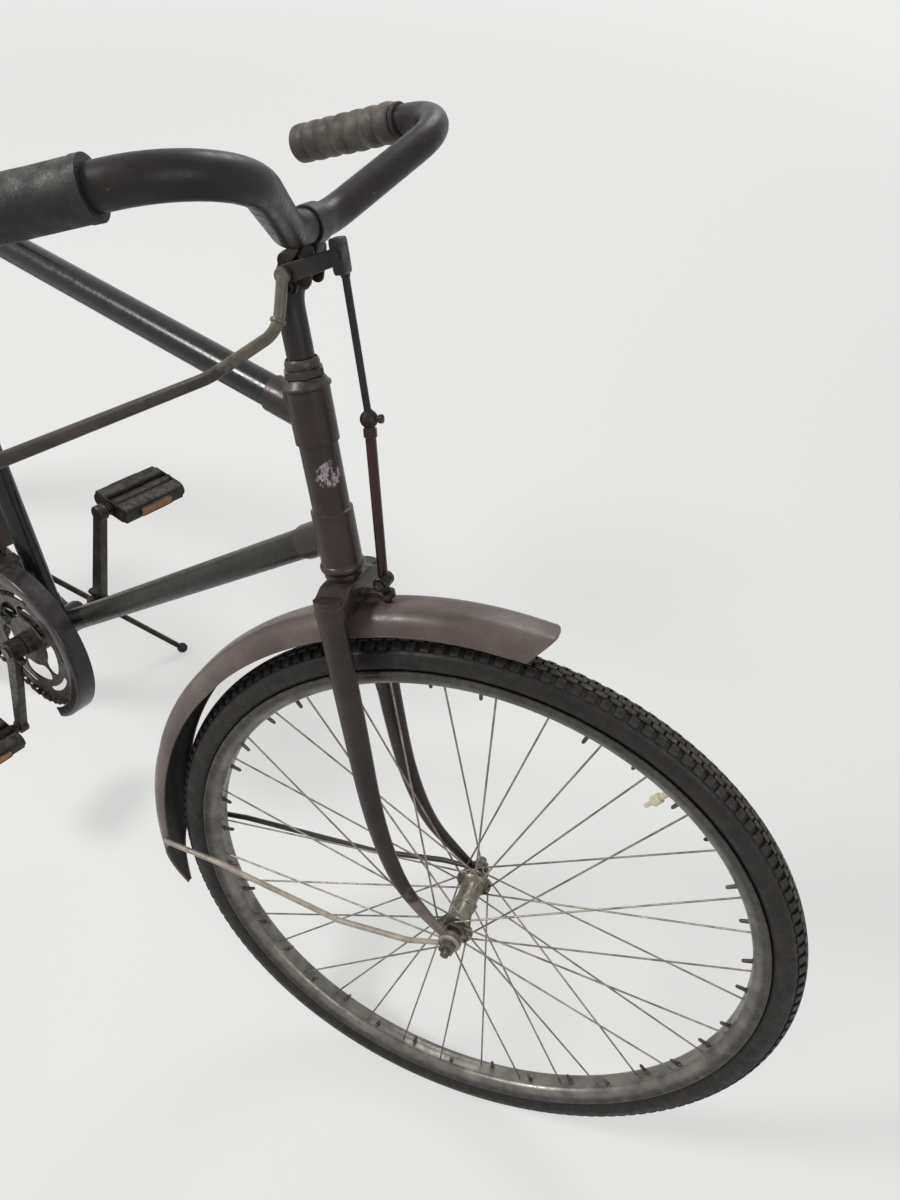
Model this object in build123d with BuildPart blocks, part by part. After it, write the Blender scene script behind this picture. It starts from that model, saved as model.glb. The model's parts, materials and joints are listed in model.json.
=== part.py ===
from build123d import *
from math import atan2, cos, degrees, pi, radians, sin, sqrt
import os

# Wheels
RIM_OUTER_R = 317.0
RIM_DEPTH = 18.0
RIM_HALF_WIDTH = 16.0
RIM_HOOK = 6.0
RIM_BED_HALF = 5.5
RIM_BED_RISE = 5.0
RIM_EDGE_T = 3.5
RIM_SIDE_IN = 3.0
TYRE_HEIGHT = 31.5
TYRE_HALF_WIDTH = 18.5
TYRE_WIDEST_SHARE = 0.35
TYRE_SHOULDER_Y = 12.0
TYRE_SHOULDER_DROP = 5.0
TYRE_BEAD_OVER = 0.5
TYRE_BEAD_IN = 4.0
SPOKE_R = 1.0
SPOKE_COUNT = 36
SPOKE_CROSS_STEPS = 3
SPOKE_TURN = -2.8
RIM_HOLE_INSET = 0.3
RIM_HOLE_Y = (1.2, 4.2)
SPOKE_LEAN_GAP = 2.0
FRONT_FLANGE_Y = 33.0
FRONT_FLANGE_R = 20.0
FRONT_SPOKE_PITCH_R = 17.0
FRONT_BARREL_R = 12.5
FRONT_HUB_HALF = 39.0
REAR_FLANGE_Y = 29.0
REAR_FLANGE_R = 33.0
REAR_SPOKE_PITCH_R = 29.5
REAR_BARREL_R = 22.5
REAR_HUB_HALF = 36.0
FLANGE_T = 3.0
FLANGE_BLEND = 5.0
FRONT_BARREL_STEP = 1.5
REAR_BARREL_STEP = 3.0
BEARING_GAP = 0.05
CONE_GAP = 0.6
FRONT_AXLE_R = 4.5
REAR_AXLE_R = 5.0
FRONT_AXLE_OUT = 14.0
REAR_AXLE_OUT = 18.0
FRONT_NUT_AF = 15.0
REAR_NUT_AF = 17.0
NUT_H = 8.0
NUT_OFF = 3.0

# Steering
HEAD_ANGLE = 69.0
FORK_RAKE = 65.0
FORK_OVER_TYRE = 65.5
HEAD_TUBE_R = 16.5
HEAD_TUBE_LEN = 163.0
HEAD_BORE_R = 14.0
STEERER_R = 12.7
HEADSET_CUP_R = 19.5
HEADSET_CUP_H = 8.0
HEADSET_CUP_EDGE = 2.0
HEADSET_RACE_R = 18.0
HEADSET_GAP = 0.4
HEADSET_CLEAR = 1.0
HEADSET_STACK = 24.0
TOP_TUBE_ON_AXIS = 140.5
DOWN_TUBE_ON_AXIS = 34.8
CROWN_TOP = -7.5
CROWN_H = 25.0
CROWN_HALF_W = 47.0
CROWN_DEPTH = 32.0
BLADE_Y_TOP = 38.5
FRONT_DROPOUT_IN = 46.0
DROPOUT_T = 5.0

# Frame
BRACKET_BACK = 565.0
BRACKET_DOWN = 197.0
SEAT_ANGLE = 69.0
TOP_TUBE_R = 14.0
DOWN_TUBE_R = 14.3
SEAT_TUBE_R = 14.3
SEAT_TUBE_ABOVE = 18.0
TUBE_WALL = 1.4
TUBE_SEAT = 24.0
LUG_T = 2.0
LUG_SLEEVE_LEN = 42.0
LUG_BLEND = 4.0
LUG_STEP = 1.0
BRACKET_SHELL_R = 20.0
BRACKET_SHELL_HALF = 34.0
CHAINSTAY_OVER_TYRE = 111.5
CHAINSTAY_R = 8.0
CHAINSTAY_TAPER = 2.5
SEATSTAY_R = 7.0
SEATSTAY_TAPER = 2.0
REAR_DROPOUT_IN = 58.0

# Mudguards
GUARD_OVER_TYRE = 34.5
GUARD_DEPTH = 22.0
GUARD_HALF_W = 26.5
GUARD_T = 1.5
GUARD_ROUND_LESS = 1.5
STAY_R = 2.2
STAY_EYE_T = 2.9

# Rest pose
STEER_REST = 15.5
LEAN_REST = 10.0

RIM_INNER_R = RIM_OUTER_R - RIM_DEPTH
TYRE_R = RIM_OUTER_R + TYRE_HEIGHT
FORK_DROP = TYRE_R + FORK_OVER_TYRE
CHAINSTAY_LEN = TYRE_R + CHAINSTAY_OVER_TYRE
GUARD_CREST_R = TYRE_R + GUARD_OVER_TYRE
GUARD_LIP_R = GUARD_CREST_R - GUARD_DEPTH
TYRE_HALF_OUTLINE = (
    # radius, half width
    (RIM_OUTER_R - RIM_HOOK + TYRE_BEAD_OVER, RIM_HALF_WIDTH - TYRE_BEAD_IN),
    (RIM_OUTER_R + TYRE_WIDEST_SHARE * TYRE_HEIGHT, TYRE_HALF_WIDTH),
    (TYRE_R - TYRE_SHOULDER_DROP, TYRE_SHOULDER_Y),
    (TYRE_R, 0.0),
)


def lean_frame():
    """Lean and pitch that put both tyres on the ground."""
    pitch = 0.0
    lean = Location((0, 0, 0), (-LEAN_REST, 0, 0))
    for _ in range(12):
        turn = Location((0, 0, 0), (0, pitch, 0))
        heights = []
        for centre, side in ((REAR_AXLE, REAR_SIDE), (FRONT_AXLE_RESTED, FRONT_SIDE_RESTED)):
            low = (lean * turn * Location(centre)).position
            out = (lean * turn * Location(centre + side)).position - low
            upright = sqrt(max(1.0 - out.Z ** 2, 0.0))
            heights.append(low.Z - max(r * upright + y * abs(out.Z) for r, y in TYRE_HALF_OUTLINE))
        pitch += degrees((heights[1] - heights[0]) / (FRONT_AXLE.X - REAR_AXLE.X))
    return Location((0, 0, -heights[0])) * lean * turn


HEAD_SIN = sin(radians(HEAD_ANGLE))
HEAD_COS = cos(radians(HEAD_ANGLE))
HEAD_Z = TYRE_R - FORK_RAKE * HEAD_COS + FORK_DROP * HEAD_SIN
HEAD_PLANE = Plane(origin=(0, 0, HEAD_Z), x_dir=(HEAD_SIN, 0, HEAD_COS), z_dir=(-HEAD_COS, 0, HEAD_SIN))
FRONT_AXLE = HEAD_PLANE.from_local_coords(Vector(FORK_RAKE, 0, -FORK_DROP))
BRACKET = HEAD_PLANE.from_local_coords(Vector(-BRACKET_BACK, 0, -BRACKET_DOWN))
REAR_AXLE = Vector(BRACKET.X - sqrt(CHAINSTAY_LEN ** 2 - (BRACKET.Z - TYRE_R) ** 2), 0, TYRE_R)
STEER_TURN = HEAD_PLANE.location * Location((0, 0, 0), (0, 0, STEER_REST))
FRONT_AXLE_RESTED = (STEER_TURN * Location((FORK_RAKE, 0, -FORK_DROP))).position
FRONT_SIDE_RESTED = (STEER_TURN * Location((FORK_RAKE, 1, -FORK_DROP))).position - FRONT_AXLE_RESTED
REAR_SIDE = Vector(0, 1, 0)
REST = lean_frame()
STEER_REST_LOC = REST * STEER_TURN
FRONT_WHEEL_LOC = STEER_REST_LOC * Location((FORK_RAKE, 0, -FORK_DROP))
REAR_WHEEL_LOC = REST * Location(REAR_AXLE)
HEAD_LOC = REST * HEAD_PLANE.location

TOP_TUBE_FRONT = HEAD_PLANE.from_local_coords(Vector(0, 0, TOP_TUBE_ON_AXIS))
DOWN_TUBE_FRONT = HEAD_PLANE.from_local_coords(Vector(0, 0, DOWN_TUBE_ON_AXIS))
SEAT_DIR = Vector(-cos(radians(SEAT_ANGLE)), 0, sin(radians(SEAT_ANGLE)))
SEAT_CLUSTER = BRACKET + SEAT_DIR * ((TOP_TUBE_FRONT.Z - BRACKET.Z) / SEAT_DIR.Z)
SEAT_TUBE_TOP = SEAT_CLUSTER + SEAT_DIR * (SEAT_TUBE_ABOVE + TOP_TUBE_R)
CENTRE_OF_WHEEL = Vector(0, 0, 0)


def along(start, end, side=Vector(0, 1, 0)):
    """Plane at start whose normal runs to end."""
    return Plane(origin=start, x_dir=side, z_dir=end - start)


def gap_to(start, end, distance):
    return start + (end - start).normalized() * distance


def side_plane(centre, y_high):
    """Upright sketch plane seen from the right; extrusion runs to the right."""
    return Plane(origin=(centre.X, y_high, centre.Z), x_dir=(1, 0, 0), z_dir=(0, -1, 0))


def outward_plane(centre, y_from, side):
    """Upright sketch plane whose extrusion runs outwards on that side."""
    return Plane(origin=(centre.X, y_from, centre.Z), x_dir=(1, 0, 0), z_dir=(0, side, 0))


def both_sides(half_outline):
    """A half outline of radius and half width, closed through its mirror image."""
    return [(r, -y) for r, y in half_outline] + [(r, y) for r, y in reversed(half_outline) if y]


# Front and rear tyre
with BuildPart() as tyre:
    with BuildSketch(Plane.XY):
        with BuildLine():
            Polyline(*both_sides(TYRE_HALF_OUTLINE), close=True)
        make_face()
    revolve(axis=Axis.Y)

# Rim with hooked edges and a spoke bed
with BuildPart() as rim:
    with BuildSketch(Plane.XY):
        with BuildLine():
            Polyline(
                (RIM_OUTER_R - RIM_HOOK, -RIM_HALF_WIDTH + RIM_EDGE_T),
                (RIM_OUTER_R, -RIM_HALF_WIDTH),
                (RIM_INNER_R + RIM_BED_RISE, -RIM_HALF_WIDTH + RIM_SIDE_IN),
                (RIM_INNER_R, -RIM_BED_HALF),
                (RIM_INNER_R, RIM_BED_HALF),
                (RIM_INNER_R + RIM_BED_RISE, RIM_HALF_WIDTH - RIM_SIDE_IN),
                (RIM_OUTER_R, RIM_HALF_WIDTH),
                (RIM_OUTER_R - RIM_HOOK, RIM_HALF_WIDTH - RIM_EDGE_T),
                close=True,
            )
        make_face()
    revolve(axis=Axis.Y)


def spoke_planes(pitch_r, flange_y):
    """Plane and length of each spoke, three crosses, laced from both flange faces."""
    laid = []
    for index in range(SPOKE_COUNT):
        side = 1 if index % 2 else -1
        outward = index // 2 % 2
        rim_angle = radians(360.0 * index / SPOKE_COUNT + SPOKE_TURN)
        turn = radians(SPOKE_CROSS_STEPS * 720.0 / SPOKE_COUNT) * (1 if outward else -1)
        face = FLANGE_T / 2 + SPOKE_R + BEARING_GAP
        hub_y = side * (flange_y + (face + SPOKE_LEAN_GAP if outward else -face))
        hub_at = Vector(pitch_r * cos(rim_angle + turn), hub_y, pitch_r * sin(rim_angle + turn))
        bed_r = RIM_INNER_R - RIM_HOLE_INSET
        rim_at = Vector(bed_r * cos(rim_angle), side * RIM_HOLE_Y[outward], bed_r * sin(rim_angle))
        laid.append((along(hub_at, rim_at), (rim_at - hub_at).length))
    return laid


with BuildPart() as spokes_front:
    for laid_plane, laid_length in spoke_planes(FRONT_SPOKE_PITCH_R, FRONT_FLANGE_Y):
        with BuildSketch(laid_plane):
            Circle(SPOKE_R)
        extrude(amount=laid_length)

with BuildPart() as spokes_rear:
    for laid_plane, laid_length in spoke_planes(REAR_SPOKE_PITCH_R, REAR_FLANGE_Y):
        with BuildSketch(laid_plane):
            Circle(SPOKE_R)
        extrude(amount=laid_length)

# Front hub shell with its two flanges
with BuildPart() as hub_front:
    with BuildSketch(Plane.XY):
        with BuildLine():
            Polyline(
                *both_sides(
                    (
                        (FRONT_AXLE_R + BEARING_GAP, FRONT_HUB_HALF),
                        (FRONT_BARREL_R - FRONT_BARREL_STEP, FRONT_HUB_HALF),
                        (FRONT_BARREL_R + FRONT_BARREL_STEP, FRONT_FLANGE_Y + FLANGE_T / 2),
                        (FRONT_FLANGE_R, FRONT_FLANGE_Y + FLANGE_T / 2),
                        (FRONT_FLANGE_R, FRONT_FLANGE_Y - FLANGE_T / 2),
                        (FRONT_BARREL_R + FRONT_BARREL_STEP, FRONT_FLANGE_Y - FLANGE_T / 2),
                        (FRONT_BARREL_R, FRONT_FLANGE_Y - FLANGE_T / 2 - FLANGE_BLEND),
                    )
                ),
                close=True,
            )
        make_face()
    revolve(axis=Axis.Y)

# Rear coaster hub shell
with BuildPart() as hub_rear:
    with BuildSketch(Plane.XY):
        with BuildLine():
            Polyline(
                *both_sides(
                    (
                        (REAR_AXLE_R + BEARING_GAP, REAR_HUB_HALF),
                        (REAR_BARREL_R - REAR_BARREL_STEP, REAR_HUB_HALF),
                        (REAR_BARREL_R, REAR_FLANGE_Y + FLANGE_T / 2),
                        (REAR_FLANGE_R, REAR_FLANGE_Y + FLANGE_T / 2),
                        (REAR_FLANGE_R, REAR_FLANGE_Y - FLANGE_T / 2),
                        (REAR_BARREL_R + REAR_BARREL_STEP, REAR_FLANGE_Y - FLANGE_T / 2),
                        (REAR_BARREL_R, REAR_FLANGE_Y - FLANGE_T / 2 - FLANGE_BLEND),
                    )
                ),
                close=True,
            )
        make_face()
    revolve(axis=Axis.Y)

# Front axle with cones and hexagon nuts, in wheel coordinates
FRONT_CONE_R = 8.0
FRONT_NUT_FROM = FRONT_DROPOUT_IN + DROPOUT_T + NUT_OFF
FRONT_AXLE_HALF = FRONT_NUT_FROM + FRONT_AXLE_OUT
with BuildPart() as axle_front:
    with BuildSketch(side_plane(CENTRE_OF_WHEEL, FRONT_AXLE_HALF)):
        Circle(FRONT_AXLE_R)
    extrude(amount=2 * FRONT_AXLE_HALF)
    for side in (-1, 1):
        with BuildSketch(outward_plane(CENTRE_OF_WHEEL, side * (FRONT_HUB_HALF + CONE_GAP), side)):
            Circle(FRONT_CONE_R)
        extrude(amount=FRONT_DROPOUT_IN - FRONT_HUB_HALF - CONE_GAP)
        with BuildSketch(outward_plane(CENTRE_OF_WHEEL, side * FRONT_NUT_FROM, side)):
            RegularPolygon(FRONT_NUT_AF / 2, 6, major_radius=False)
        extrude(amount=NUT_H)

# Rear axle, nuts and the coaster brake's end plate
REAR_CONE_R = 9.0
BRAKE_PLATE_R = 19.0
SPROCKET_SIDE_GAP = 13.0
BRAKE_ARM_Y = 42.0
BRAKE_ARM_T = 3.0
BRAKE_ARM_LEN = 135.0
BRAKE_ARM_W = 15.0
BRAKE_ARM_TILT = 4.0
BRAKE_ARM_EYE = 20.0
REAR_NUT_FROM = REAR_DROPOUT_IN + DROPOUT_T + NUT_OFF
REAR_AXLE_HALF = REAR_NUT_FROM + REAR_AXLE_OUT
with BuildPart() as axle_rear:
    with BuildSketch(side_plane(CENTRE_OF_WHEEL, REAR_AXLE_HALF)):
        Circle(REAR_AXLE_R)
    extrude(amount=2 * REAR_AXLE_HALF)
    with BuildSketch(outward_plane(CENTRE_OF_WHEEL, REAR_HUB_HALF + CONE_GAP, 1)):
        Circle(BRAKE_PLATE_R)
    extrude(amount=BRAKE_ARM_Y - REAR_HUB_HALF - CONE_GAP)
    with BuildSketch(outward_plane(CENTRE_OF_WHEEL, BRAKE_ARM_Y + BRAKE_ARM_T, 1)):
        Circle(REAR_CONE_R)
    extrude(amount=REAR_DROPOUT_IN - BRAKE_ARM_Y - BRAKE_ARM_T)
    with BuildSketch(outward_plane(CENTRE_OF_WHEEL, -REAR_HUB_HALF - SPROCKET_SIDE_GAP, -1)):
        Circle(REAR_CONE_R)
    extrude(amount=REAR_DROPOUT_IN - REAR_HUB_HALF - SPROCKET_SIDE_GAP)
    for side in (-1, 1):
        with BuildSketch(outward_plane(CENTRE_OF_WHEEL, side * REAR_NUT_FROM, side)):
            RegularPolygon(REAR_NUT_AF / 2, 6, major_radius=False)
        extrude(amount=NUT_H)

with BuildPart() as brake_arm:
    with BuildSketch(outward_plane(CENTRE_OF_WHEEL, BRAKE_ARM_Y, 1)):
        with Locations((BRAKE_ARM_LEN / 2, 0)):
            Rectangle(BRAKE_ARM_LEN, BRAKE_ARM_W)
        Circle(BRAKE_ARM_EYE)
        with Locations((BRAKE_ARM_LEN, 0)):
            Circle(BRAKE_ARM_W / 2)
        Circle(REAR_AXLE_R + BEARING_GAP, mode=Mode.SUBTRACT)
    extrude(amount=BRAKE_ARM_T)
BRAKE_ARM_LOC = REAR_WHEEL_LOC * Location((0, 0, 0), (0, -BRAKE_ARM_TILT, 0))

# Head tube with its lugs and the pressed lower cup, along the steering axis
LUG_R = HEAD_TUBE_R + LUG_T
DOWN_COLLAR_HALF = (DOWN_TUBE_R + LUG_T) / HEAD_SIN + LUG_BLEND + 1.0
TOP_COLLAR_HALF = (TOP_TUBE_R + LUG_T) / HEAD_SIN + LUG_BLEND + 1.0
LUGS = (
    # height on the steering axis, far end of the tube, tube radius
    (DOWN_TUBE_ON_AXIS, BRACKET, DOWN_TUBE_R),
    (TOP_TUBE_ON_AXIS, SEAT_CLUSTER, TOP_TUBE_R),
)
with BuildPart() as head_tube:
    with BuildSketch(Plane.XZ):
        with BuildLine():
            Polyline(
                (0, 0),
                (HEADSET_RACE_R, 0),
                (HEADSET_CUP_R, HEADSET_CUP_EDGE),
                (HEADSET_CUP_R, HEADSET_CUP_H - HEADSET_CUP_EDGE),
                (LUG_R, HEADSET_CUP_H),
                (LUG_R, DOWN_TUBE_ON_AXIS + DOWN_COLLAR_HALF),
                (HEAD_TUBE_R, DOWN_TUBE_ON_AXIS + DOWN_COLLAR_HALF + LUG_STEP),
                (HEAD_TUBE_R, TOP_TUBE_ON_AXIS - TOP_COLLAR_HALF - LUG_STEP),
                (LUG_R, TOP_TUBE_ON_AXIS - TOP_COLLAR_HALF),
                (LUG_R, HEAD_TUBE_LEN + LUG_SLEEVE_LEN),
                (0, HEAD_TUBE_LEN + LUG_SLEEVE_LEN),
                close=True,
            )
        make_face()
    revolve(axis=Axis.Z)
    for height, far_end, tube_r in LUGS:
        run = along(Vector(0, 0, height), HEAD_PLANE.to_local_coords(far_end))
        with BuildSketch(run):
            Circle(tube_r + LUG_T)
        extrude(amount=LUG_SLEEVE_LEN)
        joint_curve = head_tube.edges(Select.NEW).filter_by(GeomType.LINE, reverse=True)
        fillet(joint_curve.filter_by(GeomType.CIRCLE, reverse=True), radius=LUG_BLEND)
    with BuildSketch(Plane.XY.offset(HEAD_TUBE_LEN)):
        Circle(HEADSET_CUP_R + HEADSET_CLEAR)
    extrude(amount=2 * LUG_SLEEVE_LEN, mode=Mode.SUBTRACT)
    with BuildSketch(Plane.XY):
        Circle(HEAD_BORE_R)
    extrude(amount=HEAD_TUBE_LEN, mode=Mode.SUBTRACT)
    for height, far_end, tube_r in LUGS:
        run = along(Vector(0, 0, height), HEAD_PLANE.to_local_coords(far_end))
        with BuildSketch(run.offset(TUBE_SEAT)):
            Circle(tube_r + BEARING_GAP)
        extrude(amount=LUG_SLEEVE_LEN, mode=Mode.SUBTRACT)

# Main tubes, each seated in a lug at both ends
TUBE_END = TUBE_SEAT + BEARING_GAP
with BuildPart() as top_tube:
    with BuildSketch(along(gap_to(TOP_TUBE_FRONT, SEAT_CLUSTER, TUBE_END), SEAT_CLUSTER)):
        Circle(TOP_TUBE_R)
    extrude(amount=(SEAT_CLUSTER - TOP_TUBE_FRONT).length - 2 * TUBE_END)

with BuildPart() as down_tube:
    with BuildSketch(along(gap_to(DOWN_TUBE_FRONT, BRACKET, TUBE_END), BRACKET)):
        Circle(DOWN_TUBE_R)
    extrude(amount=(BRACKET - DOWN_TUBE_FRONT).length - 2 * TUBE_END)

# Seat tube with the seat lug, its clamp ears and the post's bore
SEAT_LUG_BELOW = (TOP_TUBE_R + LUG_T) / sin(radians(SEAT_ANGLE)) + LUG_BLEND + 1.5
SEAT_EAR = 9.0
SEAT_EAR_W = 13.5
SEAT_EAR_H = 14.5
SEAT_EAR_SUNK = 1.0
SEAT_SLOT = 2.0
POST_BORE_LEN = 130.0
with BuildPart() as seat_tube:
    with BuildSketch(along(gap_to(BRACKET, SEAT_TUBE_TOP, TUBE_END), SEAT_TUBE_TOP)):
        Circle(SEAT_TUBE_R)
    extrude(amount=(SEAT_TUBE_TOP - BRACKET).length - TUBE_END)
    with BuildSketch(along(SEAT_TUBE_TOP, BRACKET)):
        Circle(SEAT_TUBE_R + LUG_T)
    extrude(amount=SEAT_TUBE_ABOVE + TOP_TUBE_R + SEAT_LUG_BELOW)
    with BuildSketch(along(SEAT_CLUSTER, TOP_TUBE_FRONT)):
        Circle(TOP_TUBE_R + LUG_T)
    extrude(amount=LUG_SLEEVE_LEN)
    with BuildSketch(along(SEAT_TUBE_TOP, BRACKET)):
        with Locations((0, SEAT_EAR_SUNK - SEAT_TUBE_R - LUG_T - SEAT_EAR / 2)):
            Rectangle(SEAT_EAR_W, SEAT_EAR)
            Rectangle(SEAT_SLOT, SEAT_EAR, mode=Mode.SUBTRACT)
    extrude(amount=SEAT_EAR_H)
    with BuildSketch(along(gap_to(SEAT_CLUSTER, TOP_TUBE_FRONT, TUBE_SEAT), TOP_TUBE_FRONT)):
        Circle(TOP_TUBE_R + BEARING_GAP)
    extrude(amount=LUG_SLEEVE_LEN, mode=Mode.SUBTRACT)
    with BuildSketch(along(SEAT_TUBE_TOP, BRACKET)):
        Circle(SEAT_TUBE_R - TUBE_WALL)
    extrude(amount=POST_BORE_LEN, mode=Mode.SUBTRACT)

# Bottom bracket shell with its cups and the sockets of the tubes
SPINDLE_R = 8.0
CUP_OUT = 4.0
CUP_R = 18.0
SHELL_LUG_T = 1.0
SHELL_SOCKET_LEN = 44.0
CHAINSTAY_Y_FRONT = 24.0
STAY_SOCKET_FROM = 10.0
STAY_SOCKET_LEN = 34.0
STAY_SEAT = 13.0
STAY_SEAT_GAP = 1.0
STAY_MID = 0.45
STAY_MID_Y = 37.0
STAY_RISE = 2.0
STAY_END_FROM_AXLE = 38.0


def stay_points(side):
    """Centre line of a chain stay: in the shell, past the tyre, at the dropout."""
    front = BRACKET + Vector(-STAY_SOCKET_FROM, side * CHAINSTAY_Y_FRONT, STAY_RISE / 2)
    middle = BRACKET + (REAR_AXLE - BRACKET) * STAY_MID + Vector(0, side * STAY_MID_Y, STAY_RISE)
    back = REAR_AXLE + Vector(STAY_END_FROM_AXLE, side * (REAR_DROPOUT_IN + DROPOUT_T / 2), 0)
    return front, middle, back


with BuildPart() as bracket_shell:
    with BuildSketch(side_plane(BRACKET, BRACKET_SHELL_HALF)):
        Circle(BRACKET_SHELL_R)
    extrude(amount=2 * BRACKET_SHELL_HALF)
    with BuildSketch(side_plane(BRACKET, BRACKET_SHELL_HALF + CUP_OUT)):
        Circle(CUP_R)
    extrude(amount=2 * (BRACKET_SHELL_HALF + CUP_OUT))
    for far_end, tube_r in ((DOWN_TUBE_FRONT, DOWN_TUBE_R), (SEAT_TUBE_TOP, SEAT_TUBE_R)):
        with BuildSketch(along(BRACKET, far_end)):
            Circle(tube_r + SHELL_LUG_T)
        extrude(amount=SHELL_SOCKET_LEN)
    for side in (-1, 1):
        front, middle, back = stay_points(side)
        with BuildSketch(along(front, middle)):
            Circle(CHAINSTAY_R + SHELL_LUG_T)
        extrude(amount=STAY_SOCKET_LEN)
    for far_end, tube_r in ((DOWN_TUBE_FRONT, DOWN_TUBE_R), (SEAT_TUBE_TOP, SEAT_TUBE_R)):
        with BuildSketch(along(gap_to(BRACKET, far_end, TUBE_SEAT), far_end)):
            Circle(tube_r + BEARING_GAP)
        extrude(amount=SHELL_SOCKET_LEN, mode=Mode.SUBTRACT)
    for side in (-1, 1):
        front, middle, back = stay_points(side)
        with BuildSketch(along(gap_to(front, middle, STAY_SEAT), middle)):
            Circle(CHAINSTAY_R + 2 * BEARING_GAP)
        extrude(amount=STAY_SOCKET_LEN, mode=Mode.SUBTRACT)
    with BuildSketch(side_plane(BRACKET, BRACKET_SHELL_HALF + CUP_OUT)):
        Circle(SPINDLE_R + BEARING_GAP)
    extrude(amount=2 * (BRACKET_SHELL_HALF + CUP_OUT), mode=Mode.SUBTRACT)

# Chain stays: two tapered tubes, a bridge and slotted rear dropouts
BRIDGE_BACK = 62.0
BRIDGE_R = 6.0
BRIDGE_HALF = 27.0
SLOT_PAST = 2.0
REAR_DROPOUT_R = 15.0
REAR_DROPOUT_LEN = 44.0
REAR_DROPOUT_H = 17.0
EYELET_R = 2.6
EYELET_WALL = 3.6
EYELET_OUT = 19.0
EYELET_TURN = radians(105.0)
with BuildPart() as chain_stays:
    for side in (-1, 1):
        front, middle, back = stay_points(side)
        seat = gap_to(front, middle, STAY_SEAT + STAY_SEAT_GAP)
        thin = CHAINSTAY_R - CHAINSTAY_TAPER
        for centre, radius in ((seat, CHAINSTAY_R), (middle, CHAINSTAY_R), (back, thin)):
            with BuildSketch(Plane(origin=centre, x_dir=(0, 1, 0), z_dir=(1, 0, 0))):
                Circle(radius)
        loft(ruled=True)
        plate_high = REAR_DROPOUT_IN + DROPOUT_T if side > 0 else -REAR_DROPOUT_IN
        with BuildSketch(side_plane(REAR_AXLE, plate_high)):
            with Locations((REAR_DROPOUT_LEN / 2, 0)):
                Rectangle(REAR_DROPOUT_LEN, REAR_DROPOUT_H)
            Circle(REAR_DROPOUT_R)
            with Locations((EYELET_OUT * cos(EYELET_TURN), EYELET_OUT * sin(EYELET_TURN))):
                Circle(EYELET_R + EYELET_WALL)
                Circle(EYELET_R, mode=Mode.SUBTRACT)
            with Locations((-REAR_DROPOUT_R / 2, 0)):
                Rectangle(REAR_DROPOUT_R + SLOT_PAST, 2 * (REAR_AXLE_R + BEARING_GAP), mode=Mode.SUBTRACT)
            Circle(REAR_AXLE_R + BEARING_GAP, mode=Mode.SUBTRACT)
        extrude(amount=DROPOUT_T)
    bridge_at = BRACKET + Vector(-BRIDGE_BACK, 0, STAY_RISE)
    with BuildSketch(side_plane(bridge_at, BRIDGE_HALF)):
        Circle(BRIDGE_R)
    extrude(amount=2 * BRIDGE_HALF)

# Seat stays from the seat lug to the dropouts, with the mudguard's bridge
SEATSTAY_TOP_UP = 4.0
SEATSTAY_CAP = 5.0
SEATSTAY_SUNK = 0.6
SEATSTAY_END_GAP = 0.3
STAY_BRIDGE_R = 5.0
with BuildPart() as seat_stays:
    for side in (-1, 1):
        side_y = side * (SEAT_TUBE_R + LUG_T + SEATSTAY_R - SEATSTAY_SUNK)
        start = SEAT_CLUSTER + SEAT_DIR * SEATSTAY_TOP_UP + Vector(0, side_y, 0)
        reach = REAR_AXLE + Vector(0, side * (REAR_DROPOUT_IN + DROPOUT_T / 2), 0)
        end = gap_to(reach, start, REAR_DROPOUT_R + SEATSTAY_END_GAP)
        cap = gap_to(start, reach, -SEATSTAY_CAP)
        thin = SEATSTAY_R - SEATSTAY_TAPER
        for centre, radius in ((cap, SEATSTAY_R / 2), (start, SEATSTAY_R), (end, thin)):
            with BuildSketch(Plane(origin=centre, x_dir=(0, 1, 0), z_dir=end - start)):
                Circle(radius)
        loft(ruled=True)
    stay_run = SEAT_CLUSTER - REAR_AXLE
    stay_bridge_at = REAR_AXLE + stay_run.normalized() * (GUARD_CREST_R + STAY_BRIDGE_R + SEATSTAY_END_GAP)
    bridge_share = (stay_bridge_at - REAR_AXLE).length / stay_run.length
    bridge_half = REAR_DROPOUT_IN + (SEAT_TUBE_R + LUG_T + SEATSTAY_R - REAR_DROPOUT_IN) * bridge_share
    with BuildSketch(side_plane(stay_bridge_at, bridge_half)):
        Circle(STAY_BRIDGE_R)
    extrude(amount=2 * bridge_half)
    with BuildSketch(along(BRACKET, SEAT_TUBE_TOP)):
        Circle(SEAT_TUBE_R + LUG_T + BEARING_GAP)
    extrude(amount=2 * (SEAT_TUBE_TOP - BRACKET).length, mode=Mode.SUBTRACT)

# Seat post with its saddle clamp
SEATPOST_R = SEAT_TUBE_R - TUBE_WALL - BEARING_GAP
SEATPOST_OUT = 78.0
SEATPOST_IN = 90.0
SEATPOST_NECK = 24.0
SEATPOST_STEP = 2.0
SADDLE_CLAMP_R = 13.0
SADDLE_CLAMP_HALF = 19.0
POST_HEAD = SEAT_TUBE_TOP + SEAT_DIR * SEATPOST_OUT
with BuildPart() as seat_post:
    with BuildSketch(along(SEAT_TUBE_TOP - SEAT_DIR * SEATPOST_IN, SEAT_TUBE_TOP)):
        Circle(SEATPOST_R)
    extrude(amount=SEATPOST_IN + SEATPOST_OUT - SEATPOST_NECK + SEATPOST_STEP)
    with BuildSketch(along(POST_HEAD - SEAT_DIR * SEATPOST_NECK, POST_HEAD)):
        Circle(SEATPOST_R - SEATPOST_STEP)
    extrude(amount=SEATPOST_NECK)
    with BuildSketch(side_plane(POST_HEAD, SADDLE_CLAMP_HALF)):
        Circle(SADDLE_CLAMP_R)
    extrude(amount=2 * SADDLE_CLAMP_HALF)

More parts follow.
